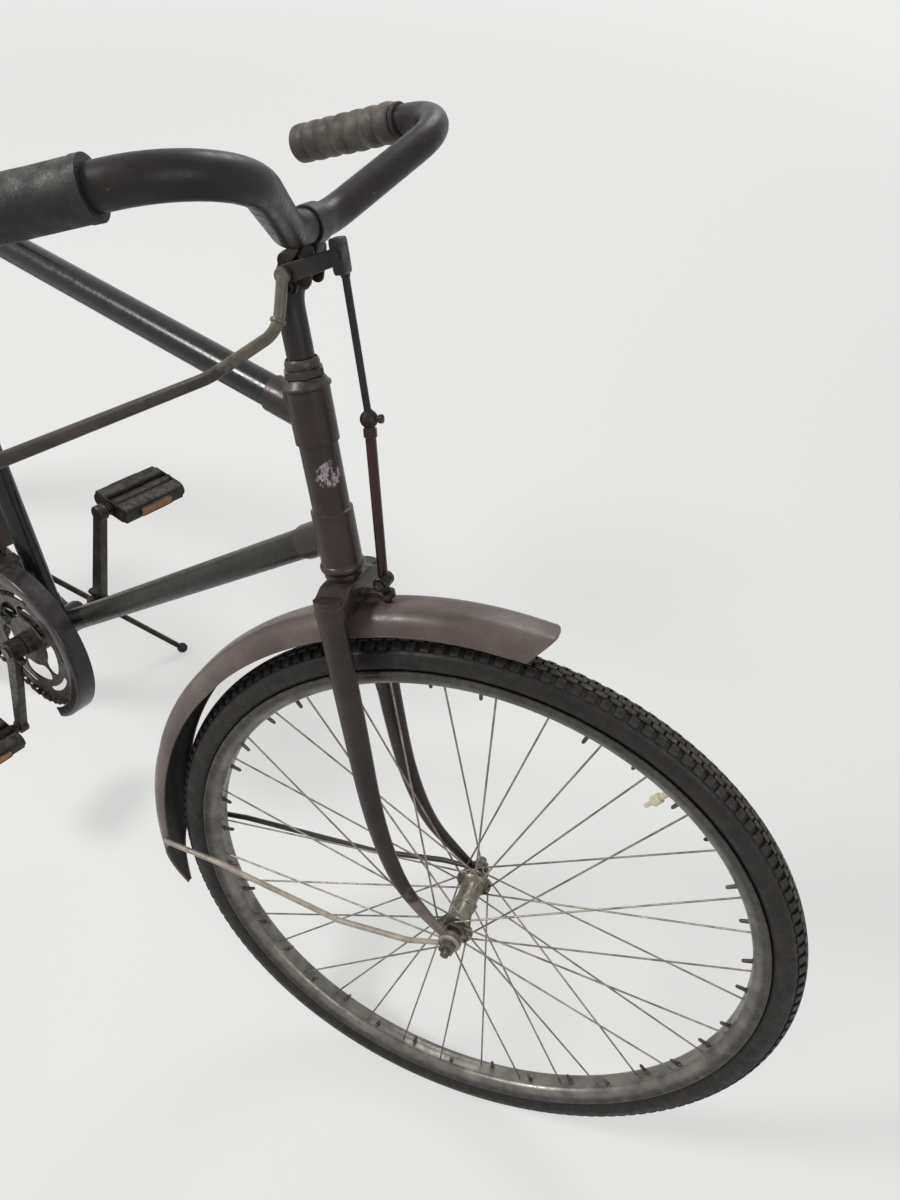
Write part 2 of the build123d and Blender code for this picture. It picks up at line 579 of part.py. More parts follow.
# Sprung saddle: leather top on two rails, a nose plate and two coil springs
SADDLE_LEN = 275.0
SADDLE_W = 210.0
SADDLE_H = 42.0
SADDLE_BACK = 105.0
SADDLE_UNDER = 34.0
SADDLE_EDGE = 10.0
RAIL_R = 3.5
RAIL_Y = SADDLE_CLAMP_HALF + RAIL_R + BEARING_GAP
RAIL_BACK = 85.0
RAIL_FRONT = 100.0
NOSE_PLATE_T = 4.0
SPRING_R = 15.0
SPRING_Y = 48.0
SPRING_WIRE = 4.0
SPRING_COILS = 4
SPRING_BRIDGE_T = 5.0
SPRING_BRIDGE_W = 26.0
SADDLE_HALF = (
    # share of the length from the back, share of the half width
    (0.0, 0.50),
    (0.04, 0.88),
    (0.22, 0.94),
    (0.56, 0.30),
    (0.96, 0.22),
    (1.0, 0.11),
)
with BuildPart() as saddle:
    with BuildSketch(Plane(origin=(POST_HEAD.X - SADDLE_BACK, 0, POST_HEAD.Z + SADDLE_UNDER))):
        half = [(share * SADDLE_LEN, wide * SADDLE_W / 2) for share, wide in SADDLE_HALF]
        Polygon(*half, *[(x, -y) for x, y in reversed(half)], align=None)
    extrude(amount=SADDLE_H)
    chamfer(saddle.faces().sort_by(Axis.Z)[-1].edges(), length=SADDLE_EDGE)

with BuildPart() as saddle_frame:
    for side in (-1, 1):
        rail_from = Vector(POST_HEAD.X - RAIL_BACK, side * RAIL_Y, POST_HEAD.Z)
        with BuildSketch(Plane(origin=rail_from, x_dir=(0, 1, 0), z_dir=(1, 0, 0))):
            Circle(RAIL_R)
        extrude(amount=RAIL_BACK + RAIL_FRONT)
        spring_from = Vector(POST_HEAD.X - RAIL_BACK, side * SPRING_Y, POST_HEAD.Z + RAIL_R)
        spring_h = SADDLE_UNDER - RAIL_R - BEARING_GAP
        for coil in range(SPRING_COILS):
            coil_up = coil * (spring_h - SPRING_WIRE) / (SPRING_COILS - 1)
            with BuildSketch(Plane(origin=spring_from + Vector(0, 0, coil_up))):
                Circle(SPRING_R)
            extrude(amount=SPRING_WIRE)
        with BuildSketch(Plane(origin=spring_from - Vector(0, 0, SPRING_BRIDGE_T))):
            Circle(SPRING_R - SPRING_WIRE)
        extrude(amount=spring_h + SPRING_BRIDGE_T)
    bridge_low = Vector(POST_HEAD.X - RAIL_BACK, 0, POST_HEAD.Z + RAIL_R - SPRING_BRIDGE_T)
    with BuildSketch(Plane(origin=bridge_low)):
        RectangleRounded(SPRING_BRIDGE_W, 2 * (SPRING_Y + SPRING_R), SPRING_BRIDGE_W / 2 - BEARING_GAP)
    extrude(amount=SPRING_BRIDGE_T)
    nose_at = Vector(POST_HEAD.X + RAIL_FRONT, 0, POST_HEAD.Z + SADDLE_UNDER / 2 - RAIL_R)
    with BuildSketch(Plane(origin=nose_at, x_dir=(0, 1, 0), z_dir=(1, 0, 0))):
        with Locations((0, RAIL_R / 2 - BEARING_GAP / 2)):
            Rectangle(2 * (RAIL_Y + RAIL_R), SADDLE_UNDER + RAIL_R - BEARING_GAP)
    extrude(amount=NOSE_PLATE_T)

# Fork: crown with sloped caps, oval raked blades, dropouts and steerer
BLADE_TABLE = (
    # share of the drop, share of the rake, share of the spread, half depth, half width
    (0.03, 0.0, 0.0, 14.0, 8.5),
    (0.36, 0.0, 0.10, 13.0, 8.2),
    (0.60, 0.03, 0.35, 11.3, 7.6),
    (0.74, 0.14, 0.56, 9.8, 7.2),
    (0.84, 0.32, 0.75, 8.8, 6.8),
    (0.92, 0.62, 0.92, 8.0, 5.0),
    (0.98, 0.90, 1.0, 7.4, 2.45),
)
BLADE_Y_END = FRONT_DROPOUT_IN + DROPOUT_T / 2
CROWN_ROUND = 13.0
CROWN_CAP_FROM = 21.0
CROWN_CAP_FALL = 11.0
FRONT_DROPOUT_R = 12.5
FRONT_NECK_LEN = 20.0
FRONT_NECK_W = 12.0
FRONT_NECK_AT = (-5.0, 7.0, 0.0)
FRONT_NECK_TURN = (0.0, 0.0, 50.0)
CAP_MARGIN = 1.0
PLUNGER_R = 3.5
PAD_X = 38.0
GUIDE_R = 8.0
GUIDE_T = 5.0
GUIDE_DOWN = 27.0
GUIDE_ARM_W = 9.6
GUIDE_SUNK = 1.0
PLUNGER_GAP = 0.3
with BuildPart() as fork:
    with BuildSketch(Plane.XY.offset(CROWN_TOP - CROWN_H)):
        RectangleRounded(CROWN_DEPTH, 2 * CROWN_HALF_W, CROWN_ROUND)
    extrude(amount=CROWN_H)
    for side in (-1, 1):
        for down, forward, spread, half_depth, half_width in BLADE_TABLE:
            out = BLADE_Y_TOP + spread * (BLADE_Y_END - BLADE_Y_TOP)
            with BuildSketch(Plane(origin=(forward * FORK_RAKE, side * out, -down * FORK_DROP))):
                Ellipse(half_depth, half_width)
        loft(ruled=True)
        plate_high = FRONT_DROPOUT_IN + DROPOUT_T if side > 0 else -FRONT_DROPOUT_IN
        with BuildSketch(side_plane(Vector(FORK_RAKE, 0, -FORK_DROP), plate_high)):
            Circle(FRONT_DROPOUT_R)
            with Locations(Location(FRONT_NECK_AT, FRONT_NECK_TURN)):
                Rectangle(FRONT_NECK_LEN, FRONT_NECK_W)
            Circle(FRONT_AXLE_R + BEARING_GAP, mode=Mode.SUBTRACT)
            with Locations((0, -FRONT_DROPOUT_R / 2)):
                Rectangle(2 * (FRONT_AXLE_R + BEARING_GAP), FRONT_DROPOUT_R + SLOT_PAST, mode=Mode.SUBTRACT)
        extrude(amount=DROPOUT_T)
    for side in (-1, 1):
        with BuildSketch(Plane.YZ.offset(-CROWN_DEPTH)):
            Polygon(
                (side * CROWN_CAP_FROM, CROWN_TOP + CAP_MARGIN),
                (side * CROWN_CAP_FROM, CROWN_TOP),
                (side * (CROWN_HALF_W + CAP_MARGIN), CROWN_TOP - CROWN_CAP_FALL),
                (side * (CROWN_HALF_W + CAP_MARGIN), CROWN_TOP + CAP_MARGIN),
                align=None,
            )
        extrude(amount=2 * CROWN_DEPTH, mode=Mode.SUBTRACT)
    with BuildSketch(Plane.XY.offset(CROWN_TOP)):
        Circle(HEADSET_RACE_R)
    extrude(amount=-CROWN_TOP - HEADSET_GAP)
    with BuildSketch(Plane.XY.offset(CROWN_TOP)):
        Circle(STEERER_R)
    extrude(amount=HEAD_TUBE_LEN - CROWN_TOP + HEADSET_STACK)
    with BuildSketch(Plane.XY.offset(-GUIDE_DOWN)):
        with Locations(((CROWN_DEPTH / 2 + PAD_X) / 2 - GUIDE_SUNK, 0)):
            Rectangle(PAD_X - CROWN_DEPTH / 2, GUIDE_ARM_W)
        with Locations((PAD_X, 0)):
            Circle(GUIDE_R)
            Circle(PLUNGER_R + PLUNGER_GAP, mode=Mode.SUBTRACT)
    extrude(amount=GUIDE_T)

# Upper headset: flared cover, hexagon and rounded locknut
HEADSET_COVER_H = 9.0
HEADSET_COVER_SIDE = 3.5
HEADSET_COVER_TOP_R = 15.2
HEADSET_BEVEL = 1.0
HEADSET_HEX_H = 7.0
HEADSET_HEX_AF = 31.0
LOCKNUT_R = 14.3
with BuildPart() as headset:
    with BuildSketch(Plane.XZ):
        with BuildLine():
            Polyline(
                (STEERER_R + BEARING_GAP, HEAD_TUBE_LEN + HEADSET_GAP),
                (HEADSET_CUP_R - HEADSET_BEVEL, HEAD_TUBE_LEN + HEADSET_GAP),
                (HEADSET_CUP_R, HEAD_TUBE_LEN + HEADSET_GAP + HEADSET_BEVEL),
                (HEADSET_CUP_R, HEAD_TUBE_LEN + HEADSET_GAP + HEADSET_COVER_SIDE),
                (HEADSET_COVER_TOP_R, HEAD_TUBE_LEN + HEADSET_COVER_H),
                (STEERER_R + BEARING_GAP, HEAD_TUBE_LEN + HEADSET_COVER_H),
                close=True,
            )
        make_face()
    revolve(axis=Axis.Z)
    with BuildSketch(Plane.XY.offset(HEAD_TUBE_LEN + HEADSET_COVER_H)):
        RegularPolygon(HEADSET_HEX_AF / 2, 6, major_radius=False)
        Circle(STEERER_R + BEARING_GAP, mode=Mode.SUBTRACT)
    extrude(amount=HEADSET_HEX_H)
    with BuildSketch(Plane.XY.offset(HEAD_TUBE_LEN + HEADSET_COVER_H + HEADSET_HEX_H)):
        Circle(LOCKNUT_R)
        Circle(STEERER_R + BEARING_GAP, mode=Mode.SUBTRACT)
    extrude(amount=HEADSET_STACK - HEADSET_COVER_H - HEADSET_HEX_H)

# Stem bent forward to the ring that clamps the handlebar
STEM_R = 11.2
STEM_BEND_UP = 49.0
STEM_BEND_R = 40.0
BAR_R = 12.5
BAR_ROLL = 1.6
CLAMP_FORWARD = 30.0
CLAMP_OVER_BEND = 46.0
CLAMP_WALL = 2.0
CLAMP_HALF = 9.0
STEM_FROM = Vector(0, 0, HEAD_TUBE_LEN + HEADSET_STACK + BEARING_GAP)
STEM_BEND = STEM_FROM + Vector(0, 0, STEM_BEND_UP)
CLAMP_AT = STEM_BEND + Vector(CLAMP_FORWARD, 0, CLAMP_OVER_BEND)
ROLL = radians(BAR_ROLL)
BAR_PLACE = Plane(origin=CLAMP_AT, x_dir=(1, 0, 0), z_dir=(0, -sin(ROLL), cos(ROLL)))
BAR_SIDE = Vector(0, cos(ROLL), sin(ROLL))
with BuildPart() as stem:
    with BuildLine() as stem_line:
        FilletPolyline(STEM_FROM, STEM_BEND, CLAMP_AT, radius=STEM_BEND_R)
    with BuildSketch(Plane(origin=STEM_FROM)):
        Circle(STEM_R)
    sweep()
    with BuildSketch(Plane(origin=CLAMP_AT - BAR_SIDE * CLAMP_HALF, x_dir=(1, 0, 0), z_dir=BAR_SIDE)):
        Circle(BAR_R + CLAMP_WALL)
    extrude(amount=2 * CLAMP_HALF)
    with BuildSketch(Plane(origin=CLAMP_AT - BAR_SIDE * 2 * CLAMP_HALF, x_dir=(1, 0, 0), z_dir=BAR_SIDE)):
        Circle(BAR_R + BEARING_GAP)
    extrude(amount=4 * CLAMP_HALF, mode=Mode.SUBTRACT)

# Handlebar, from the middle of its clamp: one bent tube, the same on both sides
BAR_INNER_BEND_R = 59.0
BAR_OUTER_BEND_R = 61.5
BAR_RUN = (
    # forward, left, up
    (0.0, 32.0, 0.0),
    (67.5, 185.5, 57.0),
    (-122.0, 241.0, 43.5),
)
GRIP_LEN = 120.0
GRIP_WALL = 5.0
GRIP_END_T = 4.0
GRIP_OPEN = 1.0
BAR_CORNER = Vector(*BAR_RUN[1])
BAR_END = Vector(*BAR_RUN[2])
BAR_LOC = STEER_REST_LOC * BAR_PLACE.location
with BuildPart() as handlebar:
    with BuildLine() as bar_line:
        right_run = [(x, -y, z) for x, y, z in reversed(BAR_RUN)]
        bend_radii = [BAR_OUTER_BEND_R, BAR_INNER_BEND_R, BAR_INNER_BEND_R, BAR_OUTER_BEND_R]
        FilletPolyline(*right_run, *BAR_RUN, radius=bend_radii)
    with BuildSketch(Plane(origin=bar_line.line @ 0, z_dir=bar_line.line % 0)):
        Circle(BAR_R)
    sweep(transition=Transition.RIGHT)

with BuildPart() as grip_left:
    with BuildSketch(along(gap_to(BAR_END, BAR_CORNER, GRIP_LEN), BAR_END)):
        Circle(BAR_R + GRIP_WALL)
    extrude(amount=GRIP_LEN + GRIP_END_T)
    with BuildSketch(along(gap_to(BAR_END, BAR_CORNER, GRIP_LEN + GRIP_OPEN), BAR_END)):
        Circle(BAR_R + BEARING_GAP)
    extrude(amount=GRIP_LEN + GRIP_OPEN + BEARING_GAP, mode=Mode.SUBTRACT)

with BuildPart() as grip_right:
    add(grip_left.part.mirror(Plane.XZ))

# Plunger brake: clamp band on the stem, lever, rod and pad
BRAKE_SHAFT = Vector(12.0, 0, 252.0)
BRAKE_SHAFT_R = 4.0
BRAKE_BOSS_R = 8.5
BRAKE_BOSS_OUT = 16.5
BRAKE_EAR_W = 12.0
BRAKE_EAR_H = 32.0
BRAKE_EAR_T = 3.0
BRAKE_BAND_W = 18.0
BRAKE_BAND_T = 2.5
BRAKE_ARM_FROM = 17.0
LEVER_ARM_T = 4.0
LEVER_ARM_H = 14.0
LEVER_R = 4.6
LEVER_BENDS = (25.0, 60.0)
LEVER_POINTS = (
    # forward, left, up
    (12.0, -23.0, 252.0),
    (5.0, -33.0, 215.0),
    (-20.0, -95.5, 199.0),
    (-65.5, -252.0, 196.0),
)
ROD_EYE = Vector(57.0, -12.0, 262.0)
ROD_BALL = Vector(50.0, 0, 136.0)
ROD_LOW = Vector(PAD_X - 1.0, 0, -12.0)
ROD_BALL_R = 7.5
ROD_UPPER_R = 3.0
ROD_LOWER_R = 4.5
ROD_SOCKET_R = 4.9
ROD_SOCKET_UP = 9.0
ROD_SOCKET_LEN = 26.0
ROD_FOOT_R = 7.0
ROD_FOOT_HALF = 11.0
PAD_CLEAR = 6.0
PAD_T = 9.0
PAD_LEN = 32.0
PAD_W = 18.0
SHOE_T = 2.0
SHOE_OVER = 1.0
PAD_Z = -FORK_DROP + sqrt((TYRE_R + PAD_CLEAR) ** 2 - (FORK_RAKE - PAD_X) ** 2) + 1.0
with BuildPart() as brake_lever:
    with BuildLine() as lever_line:
        FilletPolyline(*LEVER_POINTS, radius=list(LEVER_BENDS))
    with BuildSketch(Plane(origin=lever_line.line @ 0, z_dir=lever_line.line % 0)):
        Circle(LEVER_R)
    sweep(transition=Transition.RIGHT)
    with Locations(LEVER_POINTS[-1], LEVER_POINTS[0]):
        Sphere(LEVER_R)
    with BuildSketch(side_plane(BRAKE_SHAFT, -BRAKE_ARM_FROM)):
        Circle(BRAKE_SHAFT_R)
    extrude(amount=-LEVER_POINTS[0][1] - BRAKE_ARM_FROM)
    arm_reach = ROD_EYE - BRAKE_SHAFT
    arm_angle = degrees(atan2(arm_reach.Z, arm_reach.X))
    arm_len = sqrt(arm_reach.X ** 2 + arm_reach.Z ** 2)
    with BuildSketch(side_plane(BRAKE_SHAFT, -BRAKE_ARM_FROM)):
        Circle(LEVER_ARM_H / 2)
        with Locations(Location((arm_reach.X / 2, arm_reach.Z / 2, 0), (0, 0, arm_angle))):
            Rectangle(arm_len + 2 * ROD_SOCKET_R, LEVER_ARM_H)
    extrude(amount=LEVER_ARM_T)

with BuildPart() as brake_bracket:
    with BuildSketch(side_plane(BRAKE_SHAFT, 0)):
        Circle(BRAKE_BOSS_R)
    extrude(amount=BRAKE_BOSS_OUT)
    with BuildSketch(side_plane(BRAKE_SHAFT, -BRAKE_BOSS_OUT + BRAKE_EAR_T)):
        SlotOverall(BRAKE_EAR_H, BRAKE_EAR_W, rotation=90.0)
    extrude(amount=BRAKE_EAR_T)
    band_share = (BRAKE_SHAFT.Z - STEM_BEND.Z) / CLAMP_OVER_BEND
    band_at = STEM_BEND + (CLAMP_AT - STEM_BEND) * band_share
    with BuildSketch(along(gap_to(band_at, CLAMP_AT, -BRAKE_BAND_W / 2), CLAMP_AT)):
        Circle(STEM_R + BRAKE_BAND_T)
    extrude(amount=BRAKE_BAND_W)
    with BuildSketch(along(gap_to(band_at, CLAMP_AT, -2 * BRAKE_BAND_W), CLAMP_AT)):
        Circle(STEM_R + 2 * BEARING_GAP)
    extrude(amount=4 * BRAKE_BAND_W, mode=Mode.SUBTRACT)

with BuildPart() as brake_rod:
    rod_run = (ROD_BALL - ROD_EYE).normalized()
    with BuildSketch(along(ROD_EYE - rod_run * ROD_SOCKET_UP, ROD_BALL)):
        Circle(ROD_SOCKET_R)
    extrude(amount=ROD_SOCKET_LEN)
    with BuildSketch(along(ROD_EYE, ROD_BALL)):
        Circle(ROD_UPPER_R)
    extrude(amount=(ROD_BALL - ROD_EYE).length)
    with Locations(ROD_BALL):
        Sphere(ROD_BALL_R)
    with BuildSketch(along(ROD_BALL, ROD_LOW)):
        Circle(ROD_LOWER_R)
    extrude(amount=(ROD_LOW - ROD_BALL).length)
    with BuildSketch(side_plane(ROD_LOW, ROD_FOOT_HALF)):
        Circle(ROD_FOOT_R)
    extrude(amount=2 * ROD_FOOT_HALF)
    with BuildSketch(Plane(origin=(PAD_X, 0, PAD_Z + PAD_T))):
        Circle(PLUNGER_R)
    extrude(amount=ROD_LOW.Z - PAD_Z - PAD_T)
    with BuildSketch(Plane(origin=(PAD_X, 0, PAD_Z + PAD_T))):
        Rectangle(PAD_LEN + 2 * SHOE_OVER, PAD_W + 2 * SHOE_OVER)
    extrude(amount=SHOE_T)

with BuildPart() as brake_pad:
    with BuildSketch(Plane(origin=(PAD_X, 0, PAD_Z))):
        Rectangle(PAD_LEN, PAD_W)
    extrude(amount=PAD_T - BEARING_GAP)

# Mudguards, in wheel coordinates: a pressed channel round part of the tyre
GUARD_CORNER_R = GUARD_DEPTH - GUARD_ROUND_LESS
FRONT_GUARD_FROM = 70.5
FRONT_GUARD_TO = 188.0
BEAK_SPAN = 3.1
REAR_GUARD_FROM = 10.0
REAR_GUARD_TO = 196.0
TAIL_SPAN = 14.0
TAIL_BLUNT = 2.5
END_CUT_MARGIN = 1.0
PLUNGER_HOLE_R = PLUNGER_R + 5.5
GUARD_AXIS = Axis((0, 0, 0), (0, -1, 0))


def guard_plane(angle):
    a = radians(angle)
    return Plane(origin=(0, 0, 0), x_dir=(cos(a), 0, sin(a)), z_dir=(-sin(a), 0, cos(a)))


def guard_end_plane(angle, onward):
    """Plane under the lips whose x runs on past the guard's end; extrusion runs outwards."""
    a = radians(angle)
    out = Vector(cos(a), 0, sin(a))
    past = Vector(-sin(a), 0, cos(a)) * onward
    return Plane(origin=out * (GUARD_LIP_R - GUARD_DEPTH), x_dir=past, z_dir=out)


def tail_side(side):
    """What is cut off beside the pointed tail, from full width at the lips to the blunt tip."""
    reach = GUARD_CREST_R * sin(radians(TAIL_SPAN)) + END_CUT_MARGIN
    wide = GUARD_HALF_W + END_CUT_MARGIN / 2
    return (0, side * wide), (reach, side * TAIL_BLUNT), (reach, side * 2 * wide), (0, side * 2 * wide)


GUARD_INNER_W = GUARD_HALF_W - GUARD_T
GUARD_INNER_CREST = GUARD_CREST_R - GUARD_T
with BuildPart() as mudguard_front:
    with BuildSketch(guard_plane(FRONT_GUARD_FROM)):
        with BuildLine():
            FilletPolyline(
                (GUARD_LIP_R, -GUARD_HALF_W),
                (GUARD_CREST_R, -GUARD_HALF_W),
                (GUARD_CREST_R, GUARD_HALF_W),
                (GUARD_LIP_R, GUARD_HALF_W),
                radius=GUARD_CORNER_R,
            )
            Line((GUARD_LIP_R, GUARD_HALF_W), (GUARD_LIP_R, GUARD_INNER_W))
            FilletPolyline(
                (GUARD_LIP_R, GUARD_INNER_W),
                (GUARD_INNER_CREST, GUARD_INNER_W),
                (GUARD_INNER_CREST, -GUARD_INNER_W),
                (GUARD_LIP_R, -GUARD_INNER_W),
                radius=GUARD_CORNER_R - GUARD_T,
            )
            Line((GUARD_LIP_R, -GUARD_INNER_W), (GUARD_LIP_R, -GUARD_HALF_W))
        make_face()
    revolve(axis=GUARD_AXIS, revolution_arc=FRONT_GUARD_TO - FRONT_GUARD_FROM)
    with BuildSketch(guard_end_plane(FRONT_GUARD_FROM + BEAK_SPAN, -1)):
        with Locations((GUARD_HALF_W, 0)):
            Rectangle(2 * GUARD_HALF_W, 3 * GUARD_HALF_W)
        Ellipse(GUARD_CREST_R * sin(radians(BEAK_SPAN)), GUARD_HALF_W + END_CUT_MARGIN, mode=Mode.SUBTRACT)
    extrude(amount=3 * GUARD_DEPTH, mode=Mode.SUBTRACT)
    with BuildSketch(guard_end_plane(FRONT_GUARD_TO - TAIL_SPAN, 1)):
        for side in (-1, 1):
            Polygon(*tail_side(side), align=None)
    extrude(amount=3 * GUARD_DEPTH, mode=Mode.SUBTRACT)
    with BuildSketch(Plane(origin=(PAD_X - FORK_RAKE, 0, GUARD_LIP_R))):
        Circle(PLUNGER_HOLE_R)
    extrude(amount=2 * GUARD_DEPTH, mode=Mode.SUBTRACT)

with BuildPart() as mudguard_rear:
    with BuildSketch(guard_plane(REAR_GUARD_FROM)):
        with BuildLine():
            FilletPolyline(
                (GUARD_LIP_R, -GUARD_HALF_W),
                (GUARD_CREST_R, -GUARD_HALF_W),
                (GUARD_CREST_R, GUARD_HALF_W),
                (GUARD_LIP_R, GUARD_HALF_W),
                radius=GUARD_CORNER_R,
            )
            Line((GUARD_LIP_R, GUARD_HALF_W), (GUARD_LIP_R, GUARD_INNER_W))
            FilletPolyline(
                (GUARD_LIP_R, GUARD_INNER_W),
                (GUARD_INNER_CREST, GUARD_INNER_W),
                (GUARD_INNER_CREST, -GUARD_INNER_W),
                (GUARD_LIP_R, -GUARD_INNER_W),
                radius=GUARD_CORNER_R - GUARD_T,
            )
            Line((GUARD_LIP_R, -GUARD_INNER_W), (GUARD_LIP_R, -GUARD_HALF_W))
        make_face()
    revolve(axis=GUARD_AXIS, revolution_arc=REAR_GUARD_TO - REAR_GUARD_FROM)
    with BuildSketch(guard_end_plane(REAR_GUARD_TO - TAIL_SPAN, 1)):
        for side in (-1, 1):
            Polygon(*tail_side(side), align=None)
    extrude(amount=3 * GUARD_DEPTH, mode=Mode.SUBTRACT)

# Mudguard stays with eyelets on the axles
STAY_BEND_R = 30.0
STAY_TOUCH = 0.05
STAY_TIP_OVER_LIP = 1.5
STAY_OFF_EYE = 0.7
FRONT_EYE_R = 12.0
REAR_EYE_R = 13.5
FRONT_STAY_Y = FRONT_DROPOUT_IN + DROPOUT_T + STAY_R + 0.1
FRONT_STAY_RUN = (
    # backward and upward as shares of the lip radius, outwards
    (0.029, 0.0, FRONT_STAY_Y + 0.3),
    (0.125, -0.003, FRONT_STAY_Y + 4.5),
    (0.36, 0.0, FRONT_STAY_Y - 1.0),
    (0.803, 0.1025, GUARD_HALF_W + 9.5),
    (0.9973, 0.1274, GUARD_HALF_W + STAY_R - 0.2),
)
with BuildPart() as stays_front:
    for side in (-1, 1):
        stay_run = [(-back * GUARD_LIP_R, side * out, up * GUARD_LIP_R) for back, up, out in FRONT_STAY_RUN]
        with BuildLine() as stay_line:
            FilletPolyline(*stay_run, radius=STAY_BEND_R)
        with BuildSketch(Plane(origin=stay_line.line @ 0, z_dir=stay_line.line % 0)):
            Circle(STAY_R)
        sweep(transition=Transition.RIGHT)
        eye_y = side * (FRONT_DROPOUT_IN + DROPOUT_T + STAY_EYE_T / 2 + BEARING_GAP) + STAY_EYE_T / 2
        with BuildSketch(side_plane(CENTRE_OF_WHEEL, eye_y)):
            Circle(FRONT_EYE_R)
            Circle(FRONT_AXLE_R + BEARING_GAP, mode=Mode.SUBTRACT)
        extrude(amount=STAY_EYE_T)

REAR_STAY_Y = REAR_DROPOUT_IN + DROPOUT_T + STAY_R + 0.1
REAR_STAY_ANGLES = (130.0, 168.0)
with BuildPart() as stays_rear:
    for side in (-1, 1):
        for angle in REAR_STAY_ANGLES:
            out = Vector(cos(radians(angle)), 0, sin(radians(angle)))
            foot = out * (REAR_EYE_R - STAY_R) + Vector(0, side * (REAR_STAY_Y + STAY_OFF_EYE), 0)
            top_out = side * (GUARD_HALF_W + STAY_R + STAY_TOUCH)
            top = out * (GUARD_LIP_R + STAY_TIP_OVER_LIP) + Vector(0, top_out, 0)
            with BuildSketch(along(foot, top)):
                Circle(STAY_R)
            extrude(amount=(top - foot).length)
        eye_y = side * (REAR_DROPOUT_IN + DROPOUT_T + STAY_EYE_T / 2 + BEARING_GAP) + STAY_EYE_T / 2
        with BuildSketch(side_plane(CENTRE_OF_WHEEL, eye_y)):
            Circle(REAR_EYE_R)
            Circle(REAR_AXLE_R + BEARING_GAP, mode=Mode.SUBTRACT)
        extrude(amount=STAY_EYE_T)

# Chain set, in frame coordinates around the bracket
CHAIN_Y = -44.0
PITCH = 12.7
RING_TEETH = 46
SPROCKET_TEETH = 18
RING_PITCH_R = PITCH / 2 / sin(pi / RING_TEETH)
SPROCKET_PITCH_R = PITCH / 2 / sin(pi / SPROCKET_TEETH)
TOOTH_SHAPE = (
    # share of a pitch along the rim, height over the pitch circle
    (-0.32, -3.6),
    (-0.1, 3.2),
    (0.1, 3.2),
    (0.32, -3.6),
)
RING_T = 2.6
RING_BORE_R = 15.0
RING_WINDOWS = (
    # middle radius, first angle, angle covered, width
    (48.0, -20.0, 40.0, 24.0),
    (73.0, 13.0, 42.0, 8.0),
)
RING_ARMS = 5
SPROCKET_BORE_R = 9.0
CHAIN_IN = 4.4
CHAIN_PLATE_T = 1.0
CHAIN_PLATE_HALF_H = 4.2
ROLLER_SIDE = 5.0
ROLLERS_FROM = 28.0
ROLLERS_SHORT = 42.0


def toothed_rim(teeth, pitch_r):
    points = []
    for tooth in range(teeth):
        for share, height in TOOTH_SHAPE:
            a = 2 * pi * (tooth + share) / teeth
            points.append(((pitch_r + height) * cos(a), (pitch_r + height) * sin(a)))
    return points


RING_OPENINGS = [
    (CenterArc((0, 0), middle_r, first + arm * 360.0 / RING_ARMS, covered), width)
    for middle_r, first, covered, width in RING_WINDOWS
    for arm in range(RING_ARMS)
]
with BuildPart() as chainring:
    with BuildSketch(side_plane(BRACKET, CHAIN_Y + RING_T / 2)):
        Polygon(*toothed_rim(RING_TEETH, RING_PITCH_R), align=None)
        Circle(RING_BORE_R + BEARING_GAP, mode=Mode.SUBTRACT)
        for arc, width in RING_OPENINGS:
            SlotArc(arc, width, mode=Mode.SUBTRACT)
    extrude(amount=RING_T)

with BuildPart() as sprocket:
    with BuildSketch(side_plane(REAR_AXLE, CHAIN_Y + RING_T / 2)):
        Polygon(*toothed_rim(SPROCKET_TEETH, SPROCKET_PITCH_R), align=None)
        Circle(SPROCKET_BORE_R + BEARING_GAP, mode=Mode.SUBTRACT)
    extrude(amount=RING_T)

CHAIN_RUN = BRACKET - REAR_AXLE
CHAIN_SLOPE = atan2(CHAIN_RUN.Z, CHAIN_RUN.X)
CHAIN_DIST = CHAIN_RUN.length
WEDGE_SIN = (RING_PITCH_R - SPROCKET_PITCH_R) / CHAIN_DIST
WEDGE_COS = sqrt(1 - WEDGE_SIN ** 2)
ROLLER_COUNT = int((CHAIN_DIST * WEDGE_COS - ROLLERS_FROM - ROLLERS_SHORT) / PITCH)
CHAIN_PLANE = Plane(
    origin=(REAR_AXLE.X, CHAIN_Y + CHAIN_IN / 2 + CHAIN_PLATE_T, REAR_AXLE.Z),
    x_dir=(cos(CHAIN_SLOPE), 0, sin(CHAIN_SLOPE)),
    z_dir=(0, -1, 0),
)


def belt(grow, mode):
    """The loop round sprocket and ring, widened by a distance."""
    small = SPROCKET_PITCH_R + grow
    large = RING_PITCH_R + grow
    Circle(small, mode=mode)
    with Locations((CHAIN_DIST, 0)):
        Circle(large, mode=mode)
    Polygon(
        (-small * WEDGE_SIN, small * WEDGE_COS),
        (-small * WEDGE_SIN, -small * WEDGE_COS),
        (CHAIN_DIST - large * WEDGE_SIN, -large * WEDGE_COS),
        (CHAIN_DIST - large * WEDGE_SIN, large * WEDGE_COS),
        align=None,
        mode=mode,
    )


